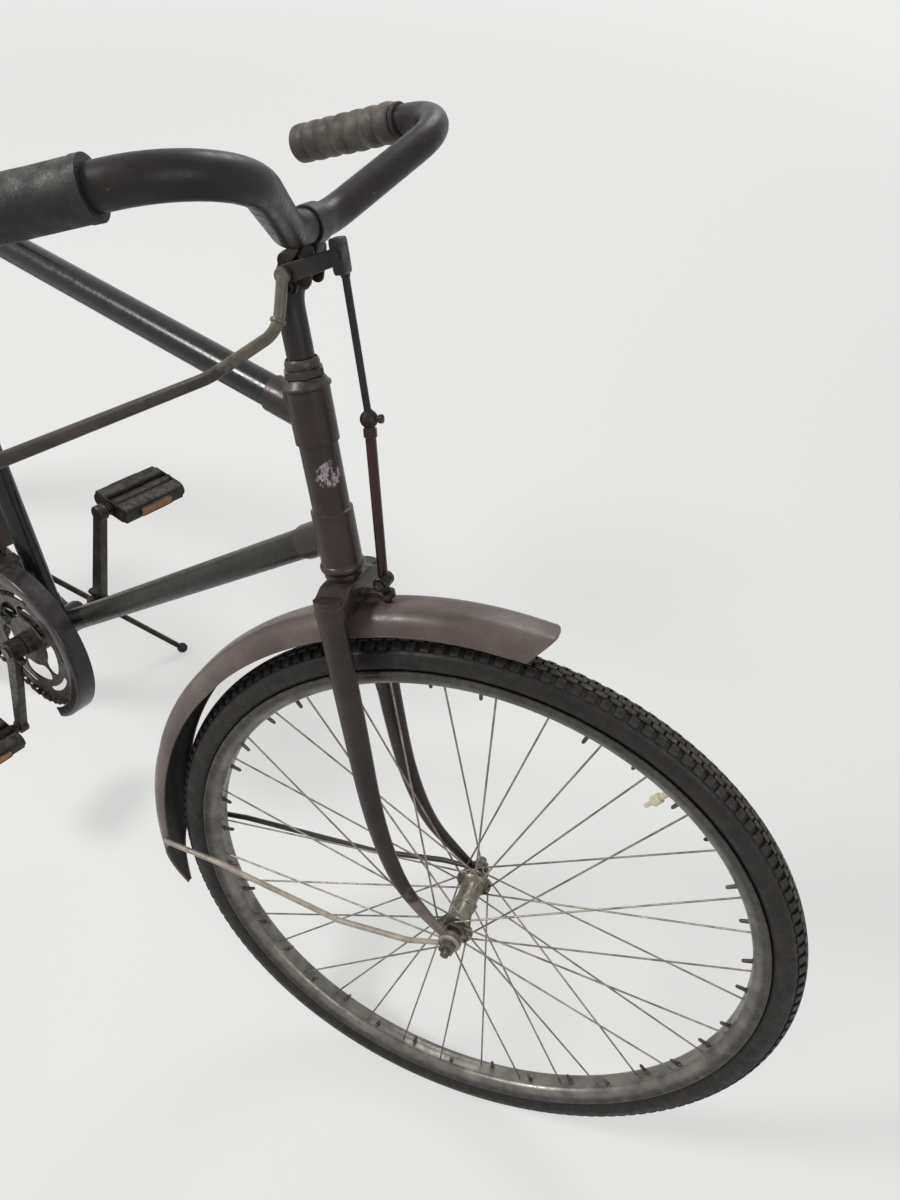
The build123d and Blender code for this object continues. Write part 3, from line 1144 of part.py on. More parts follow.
with BuildPart() as chain:
    for layer in (0, 1):
        with BuildSketch(CHAIN_PLANE.offset(layer * (CHAIN_IN + CHAIN_PLATE_T))):
            belt(CHAIN_PLATE_HALF_H, Mode.ADD)
            belt(-CHAIN_PLATE_HALF_H, Mode.SUBTRACT)
        extrude(amount=CHAIN_PLATE_T)
    with BuildSketch(CHAIN_PLANE.offset(CHAIN_PLATE_T)):
        for level in (-1, 1):
            for index in range(ROLLER_COUNT):
                reach = ROLLERS_FROM + index * PITCH
                run_x = reach * WEDGE_COS - SPROCKET_PITCH_R * WEDGE_SIN
                run_y = reach * WEDGE_SIN + SPROCKET_PITCH_R * WEDGE_COS
                with Locations(Location((run_x, level * run_y, 0), (0, 0, level * degrees(WEDGE_SIN)))):
                    Rectangle(ROLLER_SIDE, ROLLER_SIDE)
    extrude(amount=CHAIN_IN)

# Cranks, with cottered bosses and the pedal spindles, in crank coordinates
CRANK_LEN = 170.0
CRANK_Y = 66.0
CRANK_OUT = 1.0
CRANK_BOSS_R = 14.5
CRANK_BOSS_HALF = 11.0
CRANK_END_R = 10.5
CRANK_T = 11.0
CRANK_HALF_W = 9.0
CRANK_TAPER = 2.5
CRANK_ARM_FROM = 8.0
CRANK_REST = 83.0
SPINDLE_OUT = 2.0
CARRIER_GAP = 0.6
PEDAL_SPINDLE_R = 6.0
PEDAL_IN = 82.0
PEDAL_LEN = 96.0
PEDAL_CAP = 6.0
CENTRE_OF_CRANK = Vector(0, 0, 0)
with BuildPart() as crank_left:
    with BuildSketch(side_plane(CENTRE_OF_CRANK, CRANK_Y + CRANK_BOSS_HALF)):
        Circle(CRANK_BOSS_R)
        Circle(SPINDLE_R + BEARING_GAP, mode=Mode.SUBTRACT)
    extrude(amount=2 * CRANK_BOSS_HALF)
    with BuildSketch(side_plane(CENTRE_OF_CRANK, CRANK_Y + CRANK_OUT + CRANK_T / 2)):
        Polygon(
            (CRANK_ARM_FROM, CRANK_HALF_W),
            (CRANK_LEN, CRANK_HALF_W - CRANK_TAPER),
            (CRANK_LEN, CRANK_TAPER - CRANK_HALF_W),
            (CRANK_ARM_FROM, -CRANK_HALF_W),
            align=None,
        )
        with Locations((CRANK_LEN, 0)):
            Circle(CRANK_END_R)
        Circle(SPINDLE_R + BEARING_GAP, mode=Mode.SUBTRACT)
    extrude(amount=CRANK_T)
    with BuildSketch(side_plane(Vector(CRANK_LEN, 0, 0), PEDAL_IN + PEDAL_LEN - PEDAL_CAP)):
        Circle(PEDAL_SPINDLE_R)
    extrude(amount=PEDAL_IN + PEDAL_LEN - PEDAL_CAP - CRANK_Y - CRANK_OUT)

with BuildPart() as crank_right:
    add(crank_left.part.mirror(Plane.XZ))

with BuildPart() as spindle:
    with BuildSketch(side_plane(BRACKET, CRANK_Y + CRANK_BOSS_HALF + SPINDLE_OUT)):
        Circle(SPINDLE_R)
    extrude(amount=2 * (CRANK_Y + CRANK_BOSS_HALF + SPINDLE_OUT))

CARRIER_FROM = BRACKET_SHELL_HALF + CUP_OUT + CARRIER_GAP
with BuildPart() as ring_carrier:
    with BuildSketch(side_plane(BRACKET, -CARRIER_FROM)):
        Circle(RING_BORE_R)
        Circle(SPINDLE_R + BEARING_GAP, mode=Mode.SUBTRACT)
    extrude(amount=CRANK_Y - CRANK_BOSS_HALF - CARRIER_FROM - BEARING_GAP)

# Pedals: barrel with end plates, two rubber blocks, reflectors; in pedal coordinates
PEDAL_HALF_DEPTH = 31.0
PEDAL_PLATE_H = 20.0
PEDAL_BARREL_R = 9.0
BLOCK_DEPTH = 21.0
BLOCK_H = 22.0
BLOCK_CORNER = 4.0
PLATE_T = 2.0
REFLECTOR_LEN = 52.0
REFLECTOR_H = 13.0
REFLECTOR_T = 3.0
CENTRE_OF_PEDAL = Vector(0, 0, 0)
with BuildPart() as pedal_cage:
    with BuildSketch(side_plane(CENTRE_OF_PEDAL, PEDAL_IN + PEDAL_LEN)):
        Circle(PEDAL_BARREL_R)
    extrude(amount=PEDAL_LEN)
    for plate_y in (PEDAL_IN + PLATE_T, PEDAL_IN + PEDAL_LEN):
        with BuildSketch(side_plane(CENTRE_OF_PEDAL, plate_y)):
            SlotOverall(2 * PEDAL_HALF_DEPTH, PEDAL_PLATE_H)
        extrude(amount=PLATE_T)
    with BuildSketch(side_plane(CENTRE_OF_PEDAL, PEDAL_IN + PEDAL_LEN - PEDAL_CAP + CARRIER_GAP)):
        Circle(PEDAL_SPINDLE_R + BEARING_GAP)
    extrude(amount=PEDAL_LEN, mode=Mode.SUBTRACT)

with BuildPart() as pedal_blocks:
    for side in (-1, 1):
        block_at = Vector(side * (PEDAL_HALF_DEPTH - BLOCK_DEPTH / 2), 0, 0)
        with BuildSketch(side_plane(block_at, PEDAL_IN + PEDAL_LEN - PLATE_T - BEARING_GAP)):
            block = Rectangle(BLOCK_DEPTH, BLOCK_H)
            chamfer(block.vertices(), length=BLOCK_CORNER)
        extrude(amount=PEDAL_LEN - 2 * PLATE_T - 2 * BEARING_GAP)

with BuildPart() as pedal_reflectors:
    for side in (-1, 1):
        reflector_x = side * (PEDAL_HALF_DEPTH + REFLECTOR_T / 2 + BEARING_GAP)
        with Locations((reflector_x, PEDAL_IN + PEDAL_LEN / 2, 0)):
            Box(REFLECTOR_T, REFLECTOR_LEN, REFLECTOR_H)

# Chain guard: a face band with an edge wall round the ring and over the upper run
CHAIN_GUARD_R = 112.0
CHAIN_GUARD_BAND = 16.0
CHAIN_GUARD_Y = CHAIN_Y - 10.0
CHAIN_GUARD_DEPTH = 24.0
CHAIN_GUARD_T = 1.4
CHAIN_GUARD_END = -54.0
CHAIN_GUARD_CREST = 10.0
GUARD_TAIL_X = -330.0
GUARD_TAIL_TOP = 92.0
GUARD_TAIL_LOW = 58.0
TAB_W = 14.0
TAB_H = 6.0


def chain_guard_outer(shrink):
    """Disc round the ring with the tail over the chain's upper run."""
    Circle(CHAIN_GUARD_R - shrink)
    Polygon(
        (0, GUARD_TAIL_LOW),
        (0, CHAIN_GUARD_R - shrink),
        (-CHAIN_GUARD_CREST, CHAIN_GUARD_R - shrink),
        (GUARD_TAIL_X, GUARD_TAIL_TOP - shrink),
        (GUARD_TAIL_X, GUARD_TAIL_LOW),
        align=None,
    )


def chain_guard_open():
    """What the guard leaves open: under the tail and behind its lower end."""
    far = 3 * CHAIN_GUARD_R
    end = radians(CHAIN_GUARD_END)
    Polygon(
        (GUARD_TAIL_X - CHAIN_GUARD_T, GUARD_TAIL_LOW),
        (0, GUARD_TAIL_LOW),
        (0, 0),
        (far * cos(end), far * sin(end)),
        (0, -far),
        (GUARD_TAIL_X - CHAIN_GUARD_T, -far),
        align=None,
        mode=Mode.SUBTRACT,
    )


with BuildPart() as chain_guard:
    with BuildSketch(side_plane(BRACKET, CHAIN_GUARD_Y)):
        chain_guard_outer(0.0)
        Circle(CHAIN_GUARD_R - CHAIN_GUARD_BAND, mode=Mode.SUBTRACT)
        chain_guard_open()
    extrude(amount=CHAIN_GUARD_T)
    with BuildSketch(side_plane(BRACKET, CHAIN_GUARD_Y + CHAIN_GUARD_DEPTH)):
        chain_guard_outer(0.0)
        with BuildSketch(mode=Mode.SUBTRACT):
            chain_guard_outer(CHAIN_GUARD_T)
        chain_guard_open()
    extrude(amount=CHAIN_GUARD_DEPTH)
    tab_at = BRACKET + SEAT_DIR * ((CHAIN_GUARD_R - TAB_H) / SEAT_DIR.Z)
    with BuildSketch(side_plane(tab_at, -SEAT_TUBE_R - 2 * BEARING_GAP)):
        Rectangle(TAB_W, TAB_H)
    extrude(amount=-CHAIN_GUARD_Y - SEAT_TUBE_R - 2 * BEARING_GAP)

# Side stand under the left chain stay: bracket with its bolt, and leg
STAY_MIDDLE = stay_points(1)[1]
STAY_BACK = stay_points(1)[2]
STAY_REACH = STAY_BACK - STAY_MIDDLE
STAY_UNIT = STAY_REACH.normalized()
STAND_BEHIND = 26.6
STAND_OUT = 8.1
STAND_UNDER = 36.0
STAND_FOOT_FORWARD = 175.0
STAND_FOOT_OUT = 214.0
STAND_FOOT_R = 9.0
STAND_FOLD_DIR = Vector(-0.985, 0.12, -0.12)
STAND_BAR_W = 15.0
STAND_BAR_T = 8.0
STAND_BAR_ROUND = 3.0
STAND_BOLT_R = 4.0
STAND_BOLT_HEAD_AF = 14.0
STAND_BOLT_HEAD = 5.0
STAND_EYE_R = 10.0
STAND_EYE_HALF = 7.5
STAND_SIDE_GAP = 0.5
STAND_PLATE_T = 5.0
STAND_PLATE_R = 13.0
STAND_OPEN_R = 16.0
STAND_STRUT_W = 18.0
STAND_STRUT_T = 8.0
STAY_CLAMP_T = 2.5
STAY_CLAMP_LEN = 30.0
STAY_AT_STAND = STAY_MIDDLE + STAY_REACH * (STAND_BEHIND / -STAY_REACH.X)
STAND_PIVOT = STAY_AT_STAND + Vector(0, STAND_OUT, -STAND_UNDER)


def ground_below(x, y, above):
    """Height in frame coordinates of a point so far above the ground beside the leaning frame."""
    down = REST.inverse()
    origin = (down * Location((0, 0, 0))).position
    normal = (down * Location((0, 0, 1))).position - origin
    return origin.Z + (above - normal.X * (x - origin.X) - normal.Y * (y - origin.Y)) / normal.Z


FOOT_X = STAND_PIVOT.X + STAND_FOOT_FORWARD
FOOT_Y = STAND_PIVOT.Y + STAND_FOOT_OUT
STAND_FOOT = Vector(FOOT_X, FOOT_Y, ground_below(FOOT_X, FOOT_Y, STAND_FOOT_R))
STAND_REACH = STAND_FOOT - STAND_PIVOT
STAND_DIR = STAND_REACH.normalized()
STAND_AXIS = STAND_DIR.cross(STAND_FOLD_DIR.normalized()).normalized()


def stand_plane(distance):
    """Plane across the stand's axle, so far along it from the leg's middle."""
    return Plane(origin=STAND_PIVOT + STAND_AXIS * distance, x_dir=STAND_DIR, z_dir=STAND_AXIS)


with BuildPart() as stand_leg:
    with BuildSketch(along(STAND_PIVOT, STAND_FOOT, STAND_AXIS)):
        RectangleRounded(STAND_BAR_T, STAND_BAR_W, STAND_BAR_ROUND)
    extrude(amount=STAND_REACH.length)
    with Locations(STAND_FOOT):
        Sphere(STAND_FOOT_R)
    with BuildSketch(stand_plane(-STAND_EYE_HALF)):
        Circle(STAND_EYE_R)
    extrude(amount=2 * STAND_EYE_HALF)
    with BuildSketch(stand_plane(-2 * STAND_EYE_HALF)):
        Circle(STAND_BOLT_R + BEARING_GAP)
    extrude(amount=4 * STAND_EYE_HALF, mode=Mode.SUBTRACT)

STAND_PLATE_AT = STAND_EYE_HALF + STAND_SIDE_GAP
with BuildPart() as stand_bracket:
    with BuildSketch(along(gap_to(STAY_AT_STAND, STAY_BACK, -STAY_CLAMP_LEN / 2), STAY_BACK)):
        Circle(CHAINSTAY_R + STAY_CLAMP_T)
    extrude(amount=STAY_CLAMP_LEN)
    plate_outside = STAND_PIVOT + STAND_AXIS * (STAND_PLATE_AT + STAND_PLATE_T)
    with BuildSketch(along(plate_outside, STAY_AT_STAND, STAY_UNIT)):
        RectangleRounded(STAND_STRUT_W, STAND_STRUT_T, STAY_CLAMP_T)
    extrude(amount=(STAY_AT_STAND - plate_outside).length - CHAINSTAY_R / 2)
    with BuildSketch(stand_plane(STAND_PLATE_AT)):
        Circle(STAND_PLATE_R)
    extrude(amount=STAND_PLATE_T)
    with BuildSketch(stand_plane(STAND_PLATE_AT)):
        Circle(STAND_OPEN_R)
    extrude(amount=-2 * STAND_PLATE_AT, mode=Mode.SUBTRACT)
    with BuildSketch(stand_plane(-STAND_PLATE_AT - STAND_BOLT_HEAD)):
        Circle(STAND_BOLT_R)
    extrude(amount=2 * STAND_PLATE_AT + STAND_BOLT_HEAD + STAND_PLATE_T / 2)
    with BuildSketch(stand_plane(-STAND_PLATE_AT - STAND_BOLT_HEAD)):
        RegularPolygon(STAND_BOLT_HEAD_AF / 2, 6, major_radius=False)
    extrude(amount=STAND_BOLT_HEAD)
    with BuildSketch(along(STAY_MIDDLE, STAY_BACK)):
        Circle(CHAINSTAY_R + BEARING_GAP)
    extrude(amount=STAY_REACH.length, mode=Mode.SUBTRACT)

# Clip that holds the coaster brake's arm to the left chain stay
CLIP_WALL = 1.6
CLIP_HALF_W = 7.0
CLIP_TAB_W = 12.0
CLIP_TAB_H = 20.0
CLIP_TAB_T = 3.0
CLIP_TAB_DOWN = 3.0
ARM_TIP = REAR_AXLE + Vector(cos(radians(BRAKE_ARM_TILT)), 0, sin(radians(BRAKE_ARM_TILT))) * BRAKE_ARM_LEN
CLIP_AT = STAY_MIDDLE + STAY_REACH * ((ARM_TIP.X - STAY_MIDDLE.X) / STAY_REACH.X)
STAY_R_AT_CLIP = CHAINSTAY_R - CHAINSTAY_TAPER * (CLIP_AT - STAY_MIDDLE).length / STAY_REACH.length
with BuildPart() as arm_clip:
    with BuildSketch(along(gap_to(CLIP_AT, STAY_BACK, -CLIP_HALF_W), STAY_BACK)):
        Circle(STAY_R_AT_CLIP + CLIP_WALL)
    extrude(amount=2 * CLIP_HALF_W)
    with BuildSketch(side_plane(ARM_TIP, BRAKE_ARM_Y + BRAKE_ARM_T + CLIP_TAB_T + 2 * BEARING_GAP)):
        with Locations((0, -CLIP_TAB_DOWN)):
            Rectangle(CLIP_TAB_W, CLIP_TAB_H)
    extrude(amount=CLIP_TAB_T)
    with BuildSketch(side_plane(ARM_TIP, BRAKE_ARM_Y + BRAKE_ARM_T + BEARING_GAP)):
        Rectangle(3 * CLIP_TAB_W, BRAKE_ARM_W + CLIP_WALL)
    extrude(amount=5 * CLIP_TAB_T, mode=Mode.SUBTRACT)
    with BuildSketch(along(STAY_MIDDLE, STAY_BACK)):
        Circle(STAY_R_AT_CLIP + 2 * BEARING_GAP + CLIP_HALF_W * CHAINSTAY_TAPER / STAY_REACH.length)
    extrude(amount=STAY_REACH.length, mode=Mode.SUBTRACT)

PIECES = (
    # node, built piece, place
    ("head_tube", head_tube, HEAD_LOC),
    ("top_tube", top_tube, REST),
    ("down_tube", down_tube, REST),
    ("seat_tube", seat_tube, REST),
    ("bracket_shell", bracket_shell, REST),
    ("chain_stays", chain_stays, REST),
    ("seat_stays", seat_stays, REST),
    ("seat_post", seat_post, REST),
    ("saddle", saddle, REST),
    ("saddle_frame", saddle_frame, REST),
    ("fork", fork, STEER_REST_LOC),
    ("headset", headset, STEER_REST_LOC),
    ("stem", stem, STEER_REST_LOC),
    ("handlebar", handlebar, BAR_LOC),
    ("grip_left", grip_left, BAR_LOC),
    ("grip_right", grip_right, BAR_LOC),
    ("brake_lever", brake_lever, STEER_REST_LOC),
    ("brake_bracket", brake_bracket, STEER_REST_LOC),
    ("brake_rod", brake_rod, STEER_REST_LOC),
    ("brake_pad", brake_pad, STEER_REST_LOC),
    ("axle_front", axle_front, FRONT_WHEEL_LOC),
    ("mudguard_front", mudguard_front, FRONT_WHEEL_LOC),
    ("stays_front", stays_front, FRONT_WHEEL_LOC),
    ("tyre_front", tyre, FRONT_WHEEL_LOC),
    ("rim_front", rim, FRONT_WHEEL_LOC),
    ("spokes_front", spokes_front, FRONT_WHEEL_LOC),
    ("hub_front", hub_front, FRONT_WHEEL_LOC),
    ("tyre_rear", tyre, REAR_WHEEL_LOC),
    ("rim_rear", rim, REAR_WHEEL_LOC),
    ("spokes_rear", spokes_rear, REAR_WHEEL_LOC),
    ("hub_rear", hub_rear, REAR_WHEEL_LOC),
    ("axle_rear", axle_rear, REAR_WHEEL_LOC),
    ("brake_arm", brake_arm, BRAKE_ARM_LOC),
    ("mudguard_rear", mudguard_rear, REAR_WHEEL_LOC),
    ("stays_rear", stays_rear, REAR_WHEEL_LOC),
    ("chainring", chainring, REST),
    ("ring_carrier", ring_carrier, REST),
    ("spindle", spindle, REST),
    ("sprocket", sprocket, REST),
    ("chain", chain, REST),
    ("crank_left", crank_left, REST * Location(BRACKET, (0, -CRANK_REST, 0))),
    ("crank_right", crank_right, REST * Location(BRACKET, (0, 180 - CRANK_REST, 0))),
    ("chain_guard", chain_guard, REST),
    ("stand_leg", stand_leg, REST),
    ("stand_bracket", stand_bracket, REST),
    ("arm_clip", arm_clip, REST),
)
os.makedirs("parts", exist_ok=True)
PEDAL_TURN = radians(CRANK_REST)
PEDAL_OUT = Vector(CRANK_LEN * cos(PEDAL_TURN), 0, CRANK_LEN * sin(PEDAL_TURN))
PEDALS = (
    # side, place
    ("left", REST * Location(BRACKET + PEDAL_OUT)),
    ("right", REST * Location(BRACKET - PEDAL_OUT, (0, 0, 180))),
)
PEDAL_PIECES = (
    # node ending, built piece
    ("cage", pedal_cage),
    ("blocks", pedal_blocks),
    ("reflectors", pedal_reflectors),
)
LAID_OUT = list(PIECES)
for name, place in PEDALS:
    for part_name, piece in PEDAL_PIECES:
        LAID_OUT.append(("pedal_" + name + "_" + part_name, piece, place))

# The origin stands on the ground under the middle of the whole
LOW_X, HIGH_X, LOW_Y, HIGH_Y = 0.0, 0.0, 0.0, 0.0
for name, piece, place in LAID_OUT:
    box = piece.part.moved(place).bounding_box()
    LOW_X, HIGH_X = min(LOW_X, box.min.X), max(HIGH_X, box.max.X)
    LOW_Y, HIGH_Y = min(LOW_Y, box.min.Y), max(HIGH_Y, box.max.Y)
CENTRE = Location((-(LOW_X + HIGH_X) / 2, -(LOW_Y + HIGH_Y) / 2, 0))
for name, piece, place in LAID_OUT:
    placed = piece.part.moved(CENTRE * place)
    placed.label = name
    export_step(placed, "parts/" + name + ".step")
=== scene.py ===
import json
import math

import bmesh
import bpy
from mathutils import Matrix, Vector, noise


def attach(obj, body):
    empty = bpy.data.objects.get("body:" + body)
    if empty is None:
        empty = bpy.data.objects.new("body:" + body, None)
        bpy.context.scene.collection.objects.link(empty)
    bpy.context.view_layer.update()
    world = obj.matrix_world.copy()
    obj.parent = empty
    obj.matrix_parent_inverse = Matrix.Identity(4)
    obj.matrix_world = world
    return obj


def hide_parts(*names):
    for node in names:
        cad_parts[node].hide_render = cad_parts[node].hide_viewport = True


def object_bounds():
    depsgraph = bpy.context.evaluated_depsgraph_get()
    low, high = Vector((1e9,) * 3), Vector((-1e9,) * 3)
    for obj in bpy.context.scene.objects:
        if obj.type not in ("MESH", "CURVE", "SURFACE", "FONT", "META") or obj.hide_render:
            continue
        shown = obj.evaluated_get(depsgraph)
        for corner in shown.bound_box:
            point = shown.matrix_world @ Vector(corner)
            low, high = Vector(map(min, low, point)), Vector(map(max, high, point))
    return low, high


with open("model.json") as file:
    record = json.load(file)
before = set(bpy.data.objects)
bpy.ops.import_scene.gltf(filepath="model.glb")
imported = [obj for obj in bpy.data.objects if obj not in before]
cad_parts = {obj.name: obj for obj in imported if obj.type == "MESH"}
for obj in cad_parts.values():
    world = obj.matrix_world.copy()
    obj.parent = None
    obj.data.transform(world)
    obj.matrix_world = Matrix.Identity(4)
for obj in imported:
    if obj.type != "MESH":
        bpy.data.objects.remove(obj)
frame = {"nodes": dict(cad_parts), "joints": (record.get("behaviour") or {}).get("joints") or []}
CAD_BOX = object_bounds()
NODES = frame["nodes"]
JOINTS = {joint["name"]: joint for joint in frame["joints"]}

# Sizes, in millimetres
MM = 0.001
HEAD_ANGLE = 69.0
TYRE_R = 348.5
SECTION_R = 18.5
SECTION_CENTRE_R = TYRE_R - SECTION_R
RIM_OUTER_R = 317.0
RIM_INNER_R = 299.0
SPOKE_COUNT = 36
FORK_RAKE = 65.0
FORK_DROP = 414.0
FRONT_DROPOUT_IN = 46.0
CHAIN_Y = -44.0
PAD_X = 38.0


def joint_point(name):
    return Vector(JOINTS[name]["pos_m"])


def joint_axis(name):
    return Vector(JOINTS[name]["axis"]).normalized()


def axes(origin, side, up):
    """Frame at origin with its Y along side and its Z as near to up as it can be."""
    y = side.normalized()
    z = (up - y * up.dot(y)).normalized()
    matrix = Matrix((y.cross(z), y, z)).transposed().to_4x4()
    matrix.translation = origin
    return matrix


# Frames of the steering, the wheels and the bicycle's own upright axes
STEER_AXIS = joint_axis("steering_turn")
FRONT_AXLE = joint_axis("front_wheel_spin")
STEER = axes(joint_point("steering_turn"), FRONT_AXLE, STEER_AXIS)
FRONT_WHEEL = axes(joint_point("front_wheel_spin"), FRONT_AXLE, STEER_AXIS)
HEAD = axes(joint_point("steering_turn"), joint_axis("rear_wheel_spin"), STEER_AXIS)
UPRIGHT = HEAD @ Matrix.Rotation(math.radians(90.0 - HEAD_ANGLE), 4, "Y")


def upright_at(point):
    matrix = UPRIGHT.copy()
    matrix.translation = point
    return matrix


REAR_WHEEL = upright_at(joint_point("rear_wheel_spin"))
BRACKET = upright_at(joint_point("crank_turn"))
PEDAL_PLACES = {
    # the pedals stand level, the right one turned half round
    "left": upright_at(joint_point("left_pedal_turn")),
    "right": upright_at(joint_point("right_pedal_turn")) @ Matrix.Rotation(math.pi, 4, "Z"),
}


# Camera: fitted to the front wheel, fork and frame tubes, given in the steering's frame
FOCAL_PX = 870.0
PHOTO_H = 1200.0
SENSOR = 36.0
EYE = Vector((358.6, -608.9, 337.2))
EYE_RIGHT = Vector((0.93666, 0.32867, -0.12100))
EYE_DOWN = Vector((0.06084, -0.49293, -0.86794))


def make_camera():
    lens = bpy.data.cameras.new("camera")
    lens.sensor_width = SENSOR
    lens.lens = SENSOR * FOCAL_PX / PHOTO_H
    lens.clip_start = 0.02
    camera = bpy.data.objects.new("camera", lens)
    bpy.context.scene.collection.objects.link(camera)
    turn = Matrix((EYE_RIGHT, -EYE_DOWN, -EYE_RIGHT.cross(EYE_DOWN))).transposed().to_4x4()
    camera.matrix_world = STEER @ Matrix.Translation(EYE * MM) @ turn
    bpy.context.scene.camera = camera


# Mesh shapes, in millimetres, each a pair of points and faces
ON_AXIS = 0.01  # radius of a turned part's end, just off the axis
NUT_RIDGE = 0.47  # where a nut's turned corners end, as a share of its width


def around(radius, y, angle):
    """Point at a radius and at an angle in radians round the Y axis."""
    return radius * math.cos(angle), y, radius * math.sin(angle)


def lathe(profile, segments, closed=False):
    """Turns (radius, y) points round the Y axis."""
    points = []
    for step in range(segments):
        angle = math.radians(360.0 * step / segments)
        points += [around(radius, y, angle) for radius, y in profile]
    rows = len(profile)
    faces = []
    for step in range(segments):
        after = (step + 1) % segments
        for row in range(rows if closed else rows - 1):
            nxt = (row + 1) % rows
            faces.append((step * rows + row, after * rows + row, after * rows + nxt, step * rows + nxt))
    return points, faces


def loft(rings, caps=True):
    """Joins rings that have the same number of points."""
    count = len(rings[0])
    points = [p for ring in rings for p in ring]
    faces = []
    for low in range(0, len(points) - count, count):
        high = low + count
        for index in range(count):
            nxt = (index + 1) % count
            faces.append((low + index, low + nxt, high + nxt, high + index))
    if caps:
        faces.append(tuple(reversed(range(count))))
        faces.append(tuple(range(len(points) - count, len(points))))
    return points, faces


def tube(path, radius, sides):
    """A round bar along a path; radius is a number or a function of the share travelled."""
    path = [Vector(p) for p in path]
    across = (path[1] - path[0]).orthogonal().normalized()
    rings = []
    for index, point in enumerate(path):
        ahead = path[min(index + 1, len(path) - 1)] - path[max(index - 1, 0)]
        ahead.normalize()
        across = (across - ahead * across.dot(ahead)).normalized()
        other = ahead.cross(across)
        size = radius(index / (len(path) - 1)) if callable(radius) else radius
        ring = []
        for side in range(sides):
            turn = 2 * math.pi * side / sides
            ring.append(point + across * (size * math.cos(turn)) + other * (size * math.sin(turn)))
        rings.append(ring)
    return loft(rings)


def rounded(path, radius, steps):
    """The path with its corners turned into arcs of that radius."""
    path = [Vector(p) for p in path]
    made = [path[0]]
    for before, corner, after in zip(path, path[1:], path[2:]):
        back = (before - corner).normalized()
        ahead = (after - corner).normalized()
        half = back.angle(ahead) / 2
        nearest = min((before - corner).length, (after - corner).length)
        reach = min(radius / math.tan(half), nearest / 2.1)
        size = reach * math.tan(half)
        centre = corner + (back + ahead).normalized() * (size / math.sin(half))
        first = corner + back * reach - centre
        last = corner + ahead * reach - centre
        for step in range(steps + 1):
            made.append(centre + first.slerp(last, step / steps).normalized() * size)
    made.append(path[-1])
    return made


def prism(outline, low, high, inset=0.0):
    """A plate from (x, z) points, between two heights of Y, with its rims drawn in by inset."""
    centre = Vector((sum(x for x, z in outline), sum(z for x, z in outline))) / len(outline)

    def ring(y, shrink):
        made = []
        for x, z in outline:
            out = Vector((x, z)) - centre
            out *= max(out.length - shrink, 0.0) / max(out.length, 1e-6)
            made.append((centre.x + out.x, y, centre.y + out.y))
        return made

    if not inset:
        return loft([ring(low, 0.0), ring(high, 0.0)])
    return loft([ring(low, inset), ring(low + inset, 0.0), ring(high - inset, 0.0), ring(high, inset)])


def moved(shape, matrix):
    points, faces = shape
    return [matrix @ Vector(p) for p in points], faces


def both_ways(half):
    """A whole profile from its half on the side of positive y, which starts at the middle."""
    return [(r, -y) for r, y in reversed(half)] + list(half)


def turned(profile, segments, place):
    """A part turned from (radius, y) points, at its place."""
    return moved(lathe(profile, segments), place)


def place_at(x, y, z):
    return Matrix.Translation((x, y, z))


def mirrored(points):
    return [Vector((p[0], -p[1], p[2])) for p in points]


def mirrored_shape(shape):
    points, faces = shape
    return mirrored(points), [tuple(reversed(face)) for face in faces]


def joined(*shapes):
    points, faces = [], []
    for some_points, some_faces in shapes:
        base = len(points)
        points += some_points
        faces += [tuple(base + i for i in face) for face in some_faces]
    return points, faces


def hex_nut(width, height, bore=0.0):
    """A nut or bolt head standing on Y from 0, with its corners turned off."""
    corner = width / math.sqrt(3.0)
    ridge = width * NUT_RIDGE
    profile = [(ON_AXIS, 0.0), (ridge, 0.0), (corner, 0.8), (corner, height - 0.8), (ridge, height)]
    if bore:
        profile += [(bore, height), (bore * 0.9, height * 0.4), (ON_AXIS, height * 0.4)]
    else:
        profile += [(ON_AXIS, height)]
    return lathe(profile, 6)


def dome_nut(width, height):
    corner = width / math.sqrt(3.0)
    ridge = width * NUT_RIDGE
    nut = [(ON_AXIS, 0), (ridge, 0), (corner, 0.8), (corner, height - 0.6), (ridge, height)]
    cap = []
    for a in (0, 0.35, 0.7, 1.05, 1.3, 1.56):
        cap.append((width * 0.44 * math.cos(a), height + width * 0.4 * math.sin(a)))
    return joined(lathe(nut, 6), lathe(cap, 18))


def between(start, end):
    """Matrix whose Y runs from start to end, with its origin at start."""
    start, end = Vector(start), Vector(end)
    y = (end - start).normalized()
    x = y.orthogonal().normalized()
    matrix = Matrix((x, y, x.cross(y))).transposed().to_4x4()
    matrix.translation = start
    return matrix


def facing(x, y, z, way):
    """Matrix at a point whose Y runs to the left or, where way is -1, to the right."""
    return between((x, y, z), (x, y + way, z))


def piece(name, shape, place, body, look, replaces=(), sharp=32.0):
    """Adds a mesh given in millimetres in the frame place, riding on a body."""
    mesh = bpy.data.meshes.new(name)
    mesh.from_pydata([tuple(p) for p in shape[0]], [], shape[1])
    mesh.transform(place @ Matrix.Scale(MM, 4))
    edited = bmesh.new()
    edited.from_mesh(mesh)
    bmesh.ops.recalc_face_normals(edited, faces=edited.faces)
    edited.to_mesh(mesh)
    edited.free()
    mesh.shade_smooth()
    mesh.set_sharp_from_angle(angle=math.radians(sharp))
    mesh.materials.append(look)
    made = bpy.data.objects.new(name, mesh)
    bpy.context.scene.collection.objects.link(made)
    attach(made, body)
    if replaces:
        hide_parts(*replaces)
    return made


# Surfaces
def srgb(red, green, blue):
    def linear(value):
        share = value / 255.0
        return share / 12.92 if share <= 0.04045 else ((share + 0.055) / 1.055) ** 2.4

    return (linear(red), linear(green), linear(blue), 1.0)


